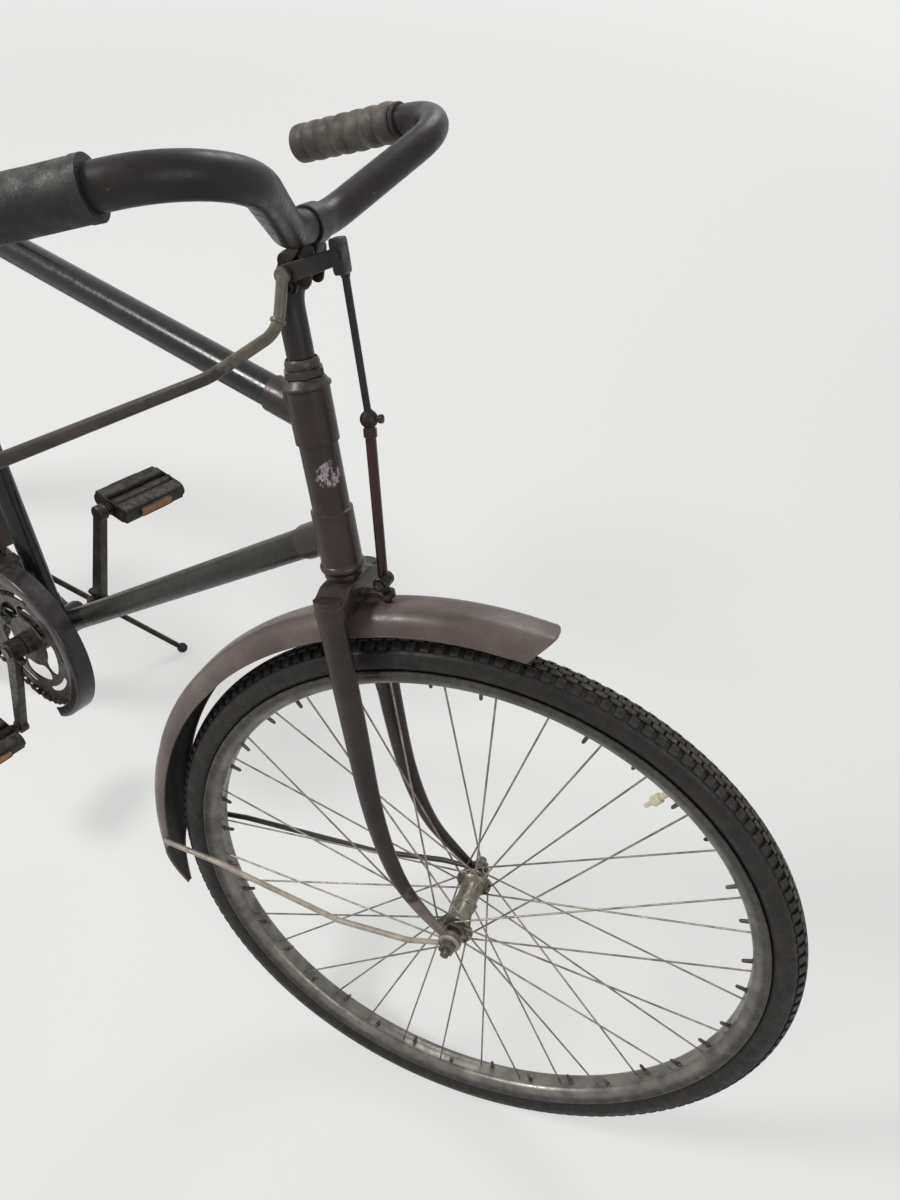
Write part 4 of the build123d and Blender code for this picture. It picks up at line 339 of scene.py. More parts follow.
class Look:
    """A material whose layers are built up from short node helpers."""

    def __init__(self, name):
        self.material = bpy.data.materials.new(name)
        self.material.use_nodes = True
        self.tree = self.material.node_tree
        self.tree.nodes.clear()
        self.shader = self.node("ShaderNodeBsdfPrincipled")
        output = self.node("ShaderNodeOutputMaterial")
        self.link(self.shader.outputs[0], output.inputs[0])
        self.coordinates = self.node("ShaderNodeTexCoord")
        self.place = self.coordinates.outputs["Object"]

    def node(self, kind, **settings):
        made = self.tree.nodes.new(kind)
        for key, value in settings.items():
            setattr(made, key, value)
        return made

    def link(self, source, target):
        self.tree.links.new(source, target)

    def put(self, value, socket):
        if isinstance(value, bpy.types.NodeSocket):
            self.link(value, socket)
        else:
            socket.default_value = value

    def noise(self, scale, detail=4.0, rough=0.55, stretch=None, warp=0.0):
        """Noise with so many lumps to the metre."""
        made = self.node("ShaderNodeTexNoise")
        place = self.place
        if stretch:
            mapping = self.node("ShaderNodeMapping")
            mapping.inputs["Scale"].default_value = stretch
            self.link(place, mapping.inputs["Vector"])
            place = mapping.outputs[0]
        self.link(place, made.inputs["Vector"])
        made.inputs["Scale"].default_value = scale
        made.inputs["Detail"].default_value = detail
        made.inputs["Roughness"].default_value = rough
        made.inputs["Distortion"].default_value = warp
        return made.outputs["Fac"]

    def cells(self, scale):
        made = self.node("ShaderNodeTexVoronoi")
        self.link(self.place, made.inputs["Vector"])
        made.inputs["Scale"].default_value = scale
        return made.outputs["Distance"]

    def span(self, value, low, high, first=0.0, last=1.0):
        """Value from low to high drawn out to first to last, with soft ends."""
        made = self.node("ShaderNodeMapRange", interpolation_type="SMOOTHSTEP")
        self.put(value, made.inputs["Value"])
        made.inputs["From Min"].default_value = low
        made.inputs["From Max"].default_value = high
        made.inputs["To Min"].default_value = first
        made.inputs["To Max"].default_value = last
        return made.outputs["Result"]

    def lumps(self, scale, detail, rough, low, high, first=0.0, last=1.0, **more):
        """Noise drawn out between two of its levels."""
        return self.span(self.noise(scale, detail, rough, **more), low, high, first, last)

    def math(self, operation, first, second=0.0):
        made = self.node("ShaderNodeMath", operation=operation)
        self.put(first, made.inputs[0])
        self.put(second, made.inputs[1])
        return made.outputs[0]

    def times(self, first, second):
        return self.math("MULTIPLY", first, second)

    def plus(self, first, second):
        return self.math("ADD", first, second)

    def vectors(self, operation, first, second=(0.0, 0.0, 0.0)):
        """A vector from a subtraction, otherwise a number."""
        made = self.node("ShaderNodeVectorMath", operation=operation)
        self.put(first, made.inputs[0])
        self.put(second, made.inputs[1])
        return made.outputs["Vector" if operation == "SUBTRACT" else "Value"]

    def bevelled(self, radius):
        """The surface's normal with its edges rounded off."""
        made = self.node("ShaderNodeBevel", samples=4)
        made.inputs["Radius"].default_value = radius
        return made.outputs[0]

    def mix(self, share, first, second):
        made = self.node("ShaderNodeMix", data_type="RGBA")
        self.put(share, made.inputs[0])
        self.put(first, made.inputs[6])
        self.put(second, made.inputs[7])
        return made.outputs[2]

    def up(self):
        """How far the surface faces up, in the object's own rest pose."""
        made = self.node("ShaderNodeSeparateXYZ")
        self.link(self.coordinates.outputs["Normal"], made.inputs[0])
        return made.outputs["Z"]

    def edges(self, radius, softness=0.06):
        """A mask of the worn outer edges, from how a rounded normal departs from the real one."""
        real = self.node("ShaderNodeNewGeometry").outputs["Normal"]
        kept = self.vectors("DOT_PRODUCT", self.bevelled(radius), real)
        return self.span(kept, 1.0 - softness, 1.0 - softness * 0.2, 1.0, 0.0)

    def wheel_place(self, wheel):
        """Radius and side distance of a point, in metres, about a wheel's own axle."""
        out = self.vectors("SUBTRACT", self.place, wheel.translation)
        side = self.vectors("DOT_PRODUCT", out, wheel.to_3x3() @ Vector((0, 1, 0)))
        length = self.vectors("LENGTH", out)
        squares = self.math("SUBTRACT", self.times(length, length), self.times(side, side))
        return self.math("SQRT", squares), side

    def near(self, point, radius, rough_scale=120.0):
        """A ragged patch round a point in the row frame, in metres."""
        away = self.vectors("DISTANCE", self.place, point)
        swing = self.math("SUBTRACT", self.noise(rough_scale, 6.0, 0.65), 0.5)
        ragged = self.plus(away, self.times(swing, radius * 1.6))
        return self.span(ragged, radius * 0.75, radius, 1.0, 0.0)

    def finish(self, colour, roughness, metallic=0.0, height=None, depth=0.0004, soften=0.0):
        self.put(colour, self.shader.inputs["Base Color"])
        self.put(roughness, self.shader.inputs["Roughness"])
        self.put(metallic, self.shader.inputs["Metallic"])
        normal = self.bevelled(soften) if soften else None
        if height is not None:
            bump = self.node("ShaderNodeBump")
            bump.inputs["Strength"].default_value = 1.0
            bump.inputs["Distance"].default_value = depth
            self.link(height, bump.inputs["Height"])
            if normal is not None:
                self.link(normal, bump.inputs["Normal"])
            normal = bump.outputs[0]
        if normal is not None:
            self.link(normal, self.shader.inputs["Normal"])
        return self.material


RUST = srgb(96, 55, 34)
DARK_RUST = srgb(58, 36, 28)
DUST = srgb(150, 140, 125)


def painted(name, colour, faded, dust, chips, shine, patch=None, bumps=1.0, gloss=0.3, dusty=None):
    """Old stove enamel: faded in clouds, chipped along its edges, with dust on what faces up.

    patch is the point and radius of a flaked spot; dusty is the point, radius and tone of a veil.
    """
    look = Look(name)
    clouds = look.lumps(14.0, 5.0, 0.6, 0.35, 0.7)
    base = look.mix(clouds, colour, faded)
    speck = look.lumps(420.0, 3.0, 0.7, 0.64, 0.7)
    base = look.mix(look.times(speck, 0.3 * bumps), base, DARK_RUST)
    wear = look.times(look.edges(0.0014), look.lumps(60.0, 6.0, 0.7, 0.46, 0.64))
    spots = look.lumps(38.0, 8.0, 0.78, 0.66 - chips, 0.70 - chips)
    bare = look.math("MAXIMUM", look.times(wear, 0.7), spots)
    metal_tint = look.mix(look.lumps(150.0, 5.0, 0.6, 0.4, 0.6), RUST, srgb(92, 84, 78))
    base = look.mix(bare, base, metal_tint)
    laid = look.span(look.up(), 0.15, 0.95)
    grit = look.lumps(90.0, 7.0, 0.7, 0.3, 0.75, warp=0.4)
    veil = look.times(look.times(laid, grit), dust)
    base = look.mix(veil, base, DUST)
    if patch:
        point, radius = patch
        torn = look.lumps(330.0, 6.0, 0.7, 0.47, 0.53, stretch=(1.0, 1.0, 0.45))
        flaked = look.times(look.near(point, radius), torn)
        base = look.mix(flaked, base, srgb(170, 160, 162))
    if dusty:
        point, radius, tone = dusty
        laid_on = look.times(look.near(point, radius, 60.0), look.span(grit, 0.0, 1.0, 0.55, 0.95))
        base = look.mix(laid_on, base, tone)
    scuffs = look.lumps(200.0, 5.0, 0.6, 0.3, 0.7, shine, shine + 0.16, stretch=(1.0, 1.0, 0.25))
    roughness = look.plus(scuffs, look.times(veil, 0.3))
    height = look.plus(look.times(look.noise(230.0, 4.0), 0.35), look.times(bare, -0.8))
    look.shader.inputs["Specular IOR Level"].default_value = gloss
    return look.finish(base, roughness, 0.0, height, 0.0002 * bumps, 0.0007)


def metal(name, colour, dull, rusty, rough=(0.3, 0.55)):
    """Bare or plated steel gone dull, with rust in patches and pits."""
    look = Look(name)
    clouds = look.lumps(60.0, 5.0, 0.6, 0.35, 0.7)
    base = look.mix(clouds, colour, dull)
    rust = look.lumps(95.0, 8.0, 0.72, 0.64 - rusty, 0.74 - rusty, warp=0.3)
    pits = look.lumps(700.0, 3.0, 0.7, 0.6 - rusty * 0.5, 0.7 - rusty * 0.5)
    rust = look.math("MAXIMUM", rust, look.times(pits, 0.45))
    tint = look.mix(look.lumps(260.0, 4.0, 0.55, 0.4, 0.6), RUST, DARK_RUST)
    base = look.mix(look.times(rust, 0.85), base, tint)
    worn = look.lumps(170.0, 5.0, 0.6, 0.3, 0.7, *rough)
    roughness = look.plus(worn, look.times(rust, 0.3))
    metallic = look.math("SUBTRACT", 0.9, look.times(rust, 0.75))
    height = look.plus(look.times(look.noise(500.0, 4.0), 0.4), look.times(rust, 0.5))
    return look.finish(base, roughness, metallic, height, 0.00015, 0.0004)


def tyre_look(name, wheel):
    """Aged rubber: brown bloom on the side walls, grey road dust on the tread."""
    look = Look(name)
    radius, _ = look.wheel_place(wheel)
    smear = look.lumps(55.0, 7.0, 0.68, 0.3, 0.72, warp=0.6)
    base = look.mix(smear, srgb(26, 25, 24), srgb(50, 46, 42))
    fine = look.lumps(480.0, 4.0, 0.7, 0.35, 0.7)
    base = look.mix(look.times(fine, 0.35), base, srgb(22, 21, 21))
    tread = look.span(radius, (SECTION_CENTRE_R + 9.0) * MM, (SECTION_CENTRE_R + 14.0) * MM)
    worn = look.mix(look.lumps(130.0, 6.0, 0.7, 0.35, 0.7), srgb(46, 44, 42), srgb(88, 83, 77))
    base = look.mix(tread, base, worn)
    groove = look.span(radius, (TYRE_R - 3.4) * MM, (TYRE_R - 1.6) * MM, 1.0, 0.0)
    base = look.mix(look.times(look.times(groove, tread), 0.75), base, srgb(20, 19, 19))
    bead = look.span(radius, (RIM_OUTER_R - 1.0) * MM, (RIM_OUTER_R + 5.0) * MM, 1.0, 0.0)
    base = look.mix(look.times(bead, 0.8), base, srgb(24, 22, 22))
    roughness = look.lumps(120.0, 5.0, 0.55, 0.3, 0.7, 0.42, 0.66)
    height = look.plus(look.times(look.noise(900.0, 3.0), 0.5), look.noise(160.0, 5.0))
    look.shader.inputs["Specular IOR Level"].default_value = 0.25
    return look.finish(base, roughness, 0.0, height, 0.0003)


def rim_look(name, wheel):
    """Dull grey steel rim: lighter along the bed, with painted shade darkening it towards its edges, and a
    little rust.
    """
    look = Look(name)
    radius, _ = look.wheel_place(wheel)
    sheen = look.mix(look.lumps(30.0, 6.0, 0.65, 0.3, 0.7), srgb(90, 88, 84), srgb(132, 129, 122))
    streak = look.lumps(240.0, 5.0, 0.7, 0.5, 0.78)
    base = look.mix(look.times(streak, 0.45), sheen, srgb(60, 54, 46))
    # painted shade: the rim's sides and rolled edges are darkened by radius, which leaves the bed lighter
    edge = look.span(radius, (RIM_OUTER_R - 13.0) * MM, (RIM_OUTER_R - 6.0) * MM)
    edge = look.times(edge, look.lumps(85.0, 6.0, 0.7, 0.3, 0.65, 0.6, 1.0))
    base = look.mix(edge, base, srgb(40, 36, 33))
    rust = look.lumps(75.0, 9.0, 0.75, 0.62, 0.72, warp=0.5)
    base = look.mix(look.times(rust, 0.75), base, srgb(92, 62, 42))
    worn = look.lumps(90.0, 6.0, 0.65, 0.3, 0.7, 0.26, 0.46)
    roughness = look.plus(worn, look.times(rust, 0.3))
    metallic = look.math("SUBTRACT", 0.72, look.times(look.math("MAXIMUM", rust, edge), 0.55))
    height = look.plus(look.times(look.noise(600.0, 4.0), 0.4), look.times(rust, 0.4))
    return look.finish(base, roughness, metallic, height, 0.00015)


def rubber_look(name, dark, light, shine=0.5):
    look = Look(name)
    bloom = look.lumps(45.0, 6.0, 0.65, 0.35, 0.72, warp=0.5)
    base = look.mix(bloom, dark, light)
    grit = look.lumps(140.0, 6.0, 0.7, 0.35, 0.75)
    laid = look.times(look.span(look.up(), 0.2, 1.0), grit)
    base = look.mix(look.times(laid, 0.3), base, DUST)
    scratch = look.lumps(320.0, 5.0, 0.7, 0.62, 0.74, stretch=(1.0, 0.3, 1.0))
    base = look.mix(look.times(scratch, 0.4), base, light)
    roughness = look.lumps(110.0, 5.0, 0.55, 0.3, 0.7, shine, shine + 0.25)
    height = look.plus(look.noise(700.0, 4.0), look.times(look.noise(90.0, 5.0), 0.8))
    look.shader.inputs["Specular IOR Level"].default_value = 0.4
    return look.finish(base, roughness, 0.0, height, 0.00035)


def leather_look(name):
    look = Look(name)
    grain = look.cells(820.0)
    creases = look.noise(150.0, 8.0, 0.72, warp=0.8)
    clouds = look.lumps(22.0, 5.0, 0.6, 0.35, 0.7)
    base = look.mix(clouds, srgb(34, 28, 25), srgb(60, 47, 39))
    worn = look.lumps(70.0, 7.0, 0.7, 0.4, 0.7)
    rubbed = look.times(look.span(look.up(), 0.55, 0.95), worn)
    base = look.mix(look.times(rubbed, 0.5), base, srgb(112, 88, 68))
    cracks = look.span(creases, 0.47, 0.5)
    lines = look.times(look.span(creases, 0.49, 0.5), look.span(creases, 0.5, 0.51, 1.0, 0.0))
    base = look.mix(lines, base, srgb(22, 18, 16))
    roughness = look.lumps(60.0, 5.0, 0.55, 0.3, 0.7, 0.36, 0.6)
    height = look.plus(look.times(grain, 0.5), look.times(cracks, 0.25))
    return look.finish(base, roughness, 0.0, height, 0.0004)


def reflector_look(name):
    look = Look(name)
    facets = look.cells(420.0)
    base = look.mix(look.lumps(160.0, 5.0, 0.55, 0.35, 0.7), srgb(160, 104, 8), srgb(112, 70, 4))
    look.shader.inputs["Coat Weight"].default_value = 0.1
    look.shader.inputs["Coat Roughness"].default_value = 0.12
    return look.finish(base, 0.35, 0.0, facets, 0.0012)


def stay_look(name, wheel):
    """Stays coated pale grey on the bicycle's right and black on its left, both worn."""
    look = Look(name)
    _, side = look.wheel_place(wheel)
    worn = look.lumps(70.0, 6.0, 0.65, 0.35, 0.7)
    pale = look.mix(worn, srgb(170, 158, 145), srgb(134, 124, 112))
    dark = look.mix(worn, srgb(28, 26, 25), srgb(46, 42, 39))
    base = look.mix(look.span(side, -0.002, 0.002), pale, dark)
    specks = look.lumps(260.0, 5.0, 0.7, 0.6, 0.68)
    base = look.mix(look.times(specks, 0.5), base, DARK_RUST)
    roughness = look.lumps(190.0, 4.0, 0.55, 0.3, 0.7, 0.3, 0.5)
    return look.finish(base, roughness, 0.0, look.noise(400.0, 4.0), 0.0001)


def plastic_look(name, colour, dirt):
    look = Look(name)
    soiled = look.lumps(220.0, 6.0, 0.7, 0.45, 0.75)
    base = look.mix(look.times(soiled, 0.5), colour, dirt)
    roughness = look.lumps(300.0, 4.0, 0.55, 0.3, 0.7, 0.35, 0.55)
    return look.finish(base, roughness, 0.0, look.noise(500.0, 3.0), 0.0001)


def steer_point(x, y, z):
    return STEER @ (Vector((x, y, z)) * MM)


WORN_PATCH = (steer_point(12.0, -13.0, 92.0), 0.012)
FORK_END = (steer_point(FORK_RAKE, -FRONT_DROPOUT_IN, -FORK_DROP + 14.0), 0.06, srgb(124, 111, 104))
LEVER_BEND = (steer_point(4.0, -38.0, 222.0), 0.056, srgb(112, 104, 91))
FORK_ENAMEL = painted("fork_enamel", srgb(36, 27, 27), srgb(54, 42, 40), 0.08, 0.03, 0.22, dusty=FORK_END)
HEADSET_ENAMEL = painted("headset_enamel", srgb(42, 36, 34), srgb(66, 58, 54), 0.26, 0.03, 0.28)
HEAD_BROWN = painted("head_enamel", srgb(42, 32, 32), srgb(58, 46, 44), 0.1, 0.03, 0.24, WORN_PATCH)
GUARD_BROWN = painted("guard_enamel", srgb(84, 72, 69), srgb(108, 95, 90), 0.1, 0.0, 0.26)
UNDERSIDE = painted("guard_underside", srgb(18, 17, 16), srgb(30, 28, 26), 0.08, 0.0, 0.45)
BLACK = painted("black_enamel", srgb(14, 14, 15), srgb(24, 23, 22), 0.04, 0.0, 0.16, bumps=0.06, gloss=0.34)
OLIVE_BLACK = painted(
    "olive_black_enamel", srgb(30, 29, 26), srgb(45, 43, 38), 0.1, 0.01, 0.24, bumps=0.35, gloss=0.2,
)
BAR_ENAMEL = painted(
    "bar_enamel", srgb(26, 23, 24), srgb(42, 37, 36), 0.06, 0.02, 0.3, bumps=0.12, gloss=0.24,
)
PLUM = painted("plum_enamel", srgb(26, 22, 24), srgb(40, 35, 37), 0.08, 0.03, 0.18, bumps=0.4, gloss=0.4)
SPOKE_STEEL = metal("spoke_steel", srgb(152, 146, 137), srgb(108, 101, 93), 0.02)
DULL_STEEL = metal("dull_steel", srgb(120, 114, 104), srgb(82, 76, 68), 0.06)
STAY_STEEL = stay_look("stay_steel", FRONT_WHEEL)
BROWN_STEEL = metal("brown_steel", srgb(100, 92, 84), srgb(62, 55, 50), 0.1)
LEVER_STEEL = painted("lever_enamel", srgb(50, 44, 41), srgb(72, 64, 58), 0.1, 0.05, 0.28, dusty=LEVER_BEND)
DARK_STEEL = metal("dark_steel", srgb(58, 55, 52), srgb(36, 34, 33), 0.08, (0.35, 0.6))
HUB_STEEL = metal("hub_steel", srgb(138, 133, 122), srgb(102, 97, 88), 0.02)
BRAKE_BLACK = painted("brake_enamel", srgb(34, 31, 30), srgb(50, 46, 44), 0.12, 0.04, 0.28)
ROD_BLACK = painted("rod_black", srgb(24, 23, 24), srgb(42, 40, 40), 0.15, 0.01, 0.25)
CRANK_STEEL = metal("crank_steel", srgb(70, 66, 62), srgb(44, 41, 39), 0.05)
CHAIN_STEEL = metal("chain_steel", srgb(54, 48, 43), srgb(32, 29, 27), 0.16, (0.35, 0.6))
RED_ROD = painted("rod_enamel", srgb(34, 16, 17), srgb(58, 26, 25), 0.1, 0.05, 0.22)
RING_STEEL = metal("ring_steel", srgb(92, 85, 78), srgb(60, 55, 50), 0.06)
RUBBER = rubber_look("black_rubber", srgb(22, 20, 19), srgb(46, 43, 40))
GRIP_RUBBER = rubber_look("grip_rubber", srgb(19, 20, 22), srgb(34, 34, 36), 0.42)
FAR_GRIP_RUBBER = rubber_look("far_grip_rubber", srgb(58, 54, 49), srgb(92, 85, 77), 0.45)
LEATHER = leather_look("saddle_leather")
AMBER = reflector_look("amber_reflector")
CREAM = plastic_look("cream_plastic", srgb(214, 204, 178), srgb(140, 128, 104))
FRONT_TYRE = tyre_look("front_tyre_rubber", FRONT_WHEEL)
REAR_TYRE = tyre_look("rear_tyre_rubber", REAR_WHEEL)
FRONT_RIM = rim_look("front_rim_steel", FRONT_WHEEL)
REAR_RIM = rim_look("rear_rim_steel", REAR_WHEEL)

# Looks of the parts that stay as they are; the rest of them is dull steel
NODE_LOOKS = {
    "head_tube": HEAD_BROWN,
    "top_tube": BLACK,
    "down_tube": OLIVE_BLACK,
    "seat_tube": BLACK,
    "bracket_shell": BLACK,
    "chain_stays": BLACK,
    "seat_stays": BLACK,
    "chainring": RING_STEEL,
    "stays_rear": STAY_STEEL,
    "ring_carrier": RING_STEEL,
    "stand_leg": DARK_STEEL,
    "stand_bracket": DARK_STEEL,
    "brake_arm": DARK_STEEL,
    "pedal_left_cage": DARK_STEEL,
    "pedal_right_cage": DARK_STEEL,
    "spokes_front": SPOKE_STEEL,
    "spokes_rear": SPOKE_STEEL,
}
for node_name, node in NODES.items():
    node.data.materials.clear()
    node.data.materials.append(NODE_LOOKS.get(node_name, DULL_STEEL))


# Helpers for shapes that follow a table or a path
UP = Matrix.Rotation(math.pi / 2, 4, "X")


def spun(profile, segments=32, low=0.0):
    """Turns (radius, height) points round the Z axis, from a height on."""
    points, faces = lathe([(r, z + low) for r, z in profile], segments)
    return [UP @ Vector(p) for p in points], faces


def eased(rows, share):
    """Reads a table of rows at a share in its first column, with smooth bends between rows."""
    index = 0
    while index < len(rows) - 2 and share > rows[index + 1][0]:
        index += 1
    first, last = rows[index], rows[index + 1]
    before = rows[max(index - 1, 0)]
    after = rows[min(index + 2, len(rows) - 1)]
    width = last[0] - first[0]
    t = min(max((share - first[0]) / width, 0.0), 1.0)
    made = []
    for column in range(1, len(first)):
        slope_in = (last[column] - before[column]) / (last[0] - before[0])
        slope_out = (after[column] - first[column]) / (after[0] - first[0])
        made.append(
            first[column] * (2 * t**3 - 3 * t**2 + 1)
            + slope_in * width * (t**3 - 2 * t**2 + t)
            + last[column] * (3 * t**2 - 2 * t**3)
            + slope_out * width * (t**3 - t**2)
        )
    return made


def squircle(half_x, half_y, count, power=2.0):
    """Closed outline between an ellipse, power 2, and a rectangle, high powers."""
    made = []
    for index in range(count):
        a = 2 * math.pi * index / count
        c, s = math.cos(a), math.sin(a)
        made.append((
            half_x * math.copysign(abs(c) ** (2 / power), c),
            half_y * math.copysign(abs(s) ** (2 / power), s),
        ))
    return made


def stadium(start, end, radius_start, radius_end, steps=10):
    """Outline in X and Z of a tapered bar with round ends."""
    start, end = Vector(start), Vector(end)
    run = math.atan2(end.y - start.y, end.x - start.x)
    made = []
    for centre, radius, turn in ((end, radius_end, -90.0), (start, radius_start, 90.0)):
        for step in range(steps + 1):
            a = run + math.radians(turn + 180.0 * step / steps)
            made.append((centre.x + radius * math.cos(a), centre.y + radius * math.sin(a)))
    return made


# Mudguards: one pressed skin, its rolled edge and a black underside
GUARD_CREST_R = 383.0
GUARD_LIP_R = 361.0
GUARD_HALF_W = 26.5
GUARD_CORNER_R = 20.5
GUARD_FLAT = GUARD_HALF_W - GUARD_CORNER_R
GUARD_SKIN = 1.1
GUARD_STEPS = 26
GUARD_PITCH = 1.4
GUARD_BEAD_R = 1.25
TAIL_SPAN = 14.0
TAIL_HALF_W = 2.5
BEAK_SPAN = 3.1
BEAK_STEPS = 10
CREST_PER_DEGREE = 6.6


def guard_point(share, wide, inset):
    """Radius and side of a point across the guard; share runs from -1 to 1."""
    side = math.copysign(1.0, share)
    reach = GUARD_CORNER_R - inset
    if wide >= GUARD_HALF_W:
        full = GUARD_FLAT + reach * math.pi / 2 + (GUARD_CREST_R - GUARD_CORNER_R - GUARD_LIP_R)
    elif wide > GUARD_FLAT:
        full = GUARD_FLAT + reach * math.asin(min((wide - GUARD_FLAT) / GUARD_CORNER_R, 1.0))
    else:
        full = wide
    along = abs(share) * full
    centre_r = GUARD_CREST_R - GUARD_CORNER_R
    if along <= GUARD_FLAT:
        return GUARD_CREST_R - inset, side * along
    turn = (along - GUARD_FLAT) / reach
    if turn <= math.pi / 2:
        return centre_r + reach * math.cos(turn), side * (GUARD_FLAT + reach * math.sin(turn))
    return centre_r - (turn - math.pi / 2) * reach, side * (GUARD_FLAT + reach)


def guard_width(angle, first, last, beak):
    """Half width of the guard at an angle: full, but round at the beak and pointed at the tail."""
    wide = GUARD_HALF_W + 0.5
    if angle > last - TAIL_SPAN:
        gone = math.sin(math.radians(angle - last + TAIL_SPAN)) / math.sin(math.radians(TAIL_SPAN))
        return wide + (TAIL_HALF_W - wide) * gone
    if beak and angle < first + BEAK_SPAN:
        gone = (first + BEAK_SPAN - angle) / BEAK_SPAN
        return (wide + 0.5) * math.sqrt(max(1.0 - gone * gone, 0.0004))
    return wide


def guard_angles(first, last, beak):
    angles = []
    if beak:
        for step in range(BEAK_STEPS):
            angles.append(first + BEAK_SPAN * (1 - math.cos(math.pi / 2 * step / BEAK_STEPS)))
        first += BEAK_SPAN
    count = int((last - first) / GUARD_PITCH)
    return angles + [first + (last - first) * step / count for step in range(count + 1)]


def dent(radius, side, angle, dents):
    """How far a shallow knock pushes the skin in."""
    for at, across, spread, depth in dents:
        away = math.hypot((angle - at) * CREST_PER_DEGREE, side - across) / spread
        radius -= depth * math.exp(-away * away)
    return radius


def guard_shape(first, last, beak, dents):
    rings = []
    shares = [2.0 * step / GUARD_STEPS - 1.0 for step in range(GUARD_STEPS + 1)]
    for angle in guard_angles(first, last, beak):
        wide = guard_width(angle, first, last, beak)
        ring = []
        for inset, order in ((0.0, shares), (GUARD_SKIN, reversed(shares))):
            for share in order:
                r, y = guard_point(share, wide, inset)
                ring.append(around(dent(r, y, angle, dents), y, math.radians(angle)))
        rings.append(ring)
    return loft(rings)


def guard_edge(first, last, beak, dents):
    """The rolled rim that runs round the guard's edge."""
    paths = []
    for side in (-1.0, 1.0):
        path = []
        for angle in guard_angles(first, last, beak)[1 if beak else 0:]:
            r, y = guard_point(side * 0.985, guard_width(angle, first, last, beak), 0.9)
            path.append(around(dent(r, y, angle, dents), y, math.radians(angle)))
        paths.append(path)
    if not beak:
        return joined(*[tube(path, GUARD_BEAD_R, 8) for path in paths])
    return tube(list(reversed(paths[0])) + paths[1], GUARD_BEAD_R, 8)


GUARDS = (
    # end, frame, body, first and last angle, beak, knocks as angle, side, spread and depth
    ("front", FRONT_WHEEL, "steering", 70.5, 188.0, True,
     ((77.0, -12.0, 15.0, 1.3), (131.0, -18.0, 22.0, 1.0),
      (152.0, -10.0, 16.0, 0.9), (100.0, 16.0, 18.0, 1.1))),
    ("rear", REAR_WHEEL, "frame", 10.0, 196.0, False,
     ((60.0, 14.0, 20.0, 1.2), (120.0, -12.0, 18.0, 1.0))),
)
for end, place, body, first, last, beak, dents in GUARDS:
    node_name = "mudguard_" + end
    shape = guard_shape(first, last, beak, dents)
    skin = piece("pressed_guard_" + end, shape, place, body, GUARD_BROWN, [node_name])
    skin.data.materials.append(UNDERSIDE)
    ring_size = 2 * (GUARD_STEPS + 1)
    for polygon in skin.data.polygons:
        if len(polygon.vertices) == 4 and min(v % ring_size for v in polygon.vertices) >= GUARD_STEPS + 1:
            polygon.material_index = 1
    edge = guard_edge(first, last, beak, dents)
    piece("guard_rim_" + end, edge, place, body, GUARD_BROWN)


# Fork: crown with sloped caps, smooth raked blades, dropouts, race, steerer and the rod's guide
CROWN_TOP = -7.5
CROWN_LOW = -32.5
CROWN_HALF_W = 47.0
CROWN_HALF_DEPTH = 16.0
CROWN_ROUND = 13.0
CROWN_POWER = 7.0
CAP_FROM = 21.0
CAP_FALL = 11.0
DROPOUT_T = 5.0
DROPOUT_R = 12.5
SLOT_HALF_W = 4.6
SLOT_DEPTH = 11.4
GUIDE_R = 8.0
GUIDE_X = 15.0
GUIDE_HALF_W = 5.0
STEERER_R = 12.7
STEERER_TOP = 186.5
BLADE_FROM = 0.03
BLADE_SPAN = 0.95
BLADE_STEPS = 48
BLADE_Y_TOP = 38.5
BLADE_Y_END = FRONT_DROPOUT_IN + DROPOUT_T / 2
BLADE_ROWS = (
    # share of the drop, of the rake and of the spread, half depth, half width
    (0.03, 0.0, 0.0, 13.8, 8.5),
    (0.36, 0.0, 0.10, 13.0, 8.2),
    (0.60, 0.03, 0.35, 11.2, 7.5),
    (0.74, 0.14, 0.56, 9.8, 7.1),
    (0.84, 0.32, 0.75, 8.7, 6.6),
    (0.92, 0.62, 0.92, 7.9, 4.9),
    (0.98, 0.90, 1.0, 7.4, 2.6),
)


def crown_shape():
    rings = []
    stations = [-47.0, -46.6, -45.6, -44.0, -41.5, -38.5, -35.0, -30.0, -25.5, -21.5, -20.5, -12.0, 0.0]
    stations += [-y for y in reversed(stations[:-1])]
    for y in stations:
        past = max(abs(y) - (CROWN_HALF_W - CROWN_ROUND), 0.0)
        half = CROWN_HALF_DEPTH - CROWN_ROUND + math.sqrt(max(CROWN_ROUND**2 - past**2, 0.6))
        half = min(half, CROWN_HALF_DEPTH)
        top = CROWN_TOP - CAP_FALL * max(abs(y) - CAP_FROM, 0.0) / (CROWN_HALF_W - CAP_FROM)
        low = CROWN_LOW + (1.6 if abs(y) > 46.0 else 0.0)
        middle, tall = (top + low) / 2, (top - low) / 2
        rings.append([(x, y, middle + z) for x, z in squircle(half, tall, 36, CROWN_POWER)])
    return loft(rings)


def blade_shape(side):
    """A raked blade that narrows downwards and bends forward to its dropout."""
    rings = []
    for step in range(BLADE_STEPS + 1):
        share = BLADE_FROM + BLADE_SPAN * step / BLADE_STEPS
        rake, spread, half_depth, half_width = eased(BLADE_ROWS, share)
        y = side * (BLADE_Y_TOP + spread * (BLADE_Y_END - BLADE_Y_TOP))
        x, z = rake * FORK_RAKE, -share * FORK_DROP
        rings.append([(x + dx, y + dy, z) for dx, dy in squircle(half_depth, half_width, 24)])
    return loft(rings)


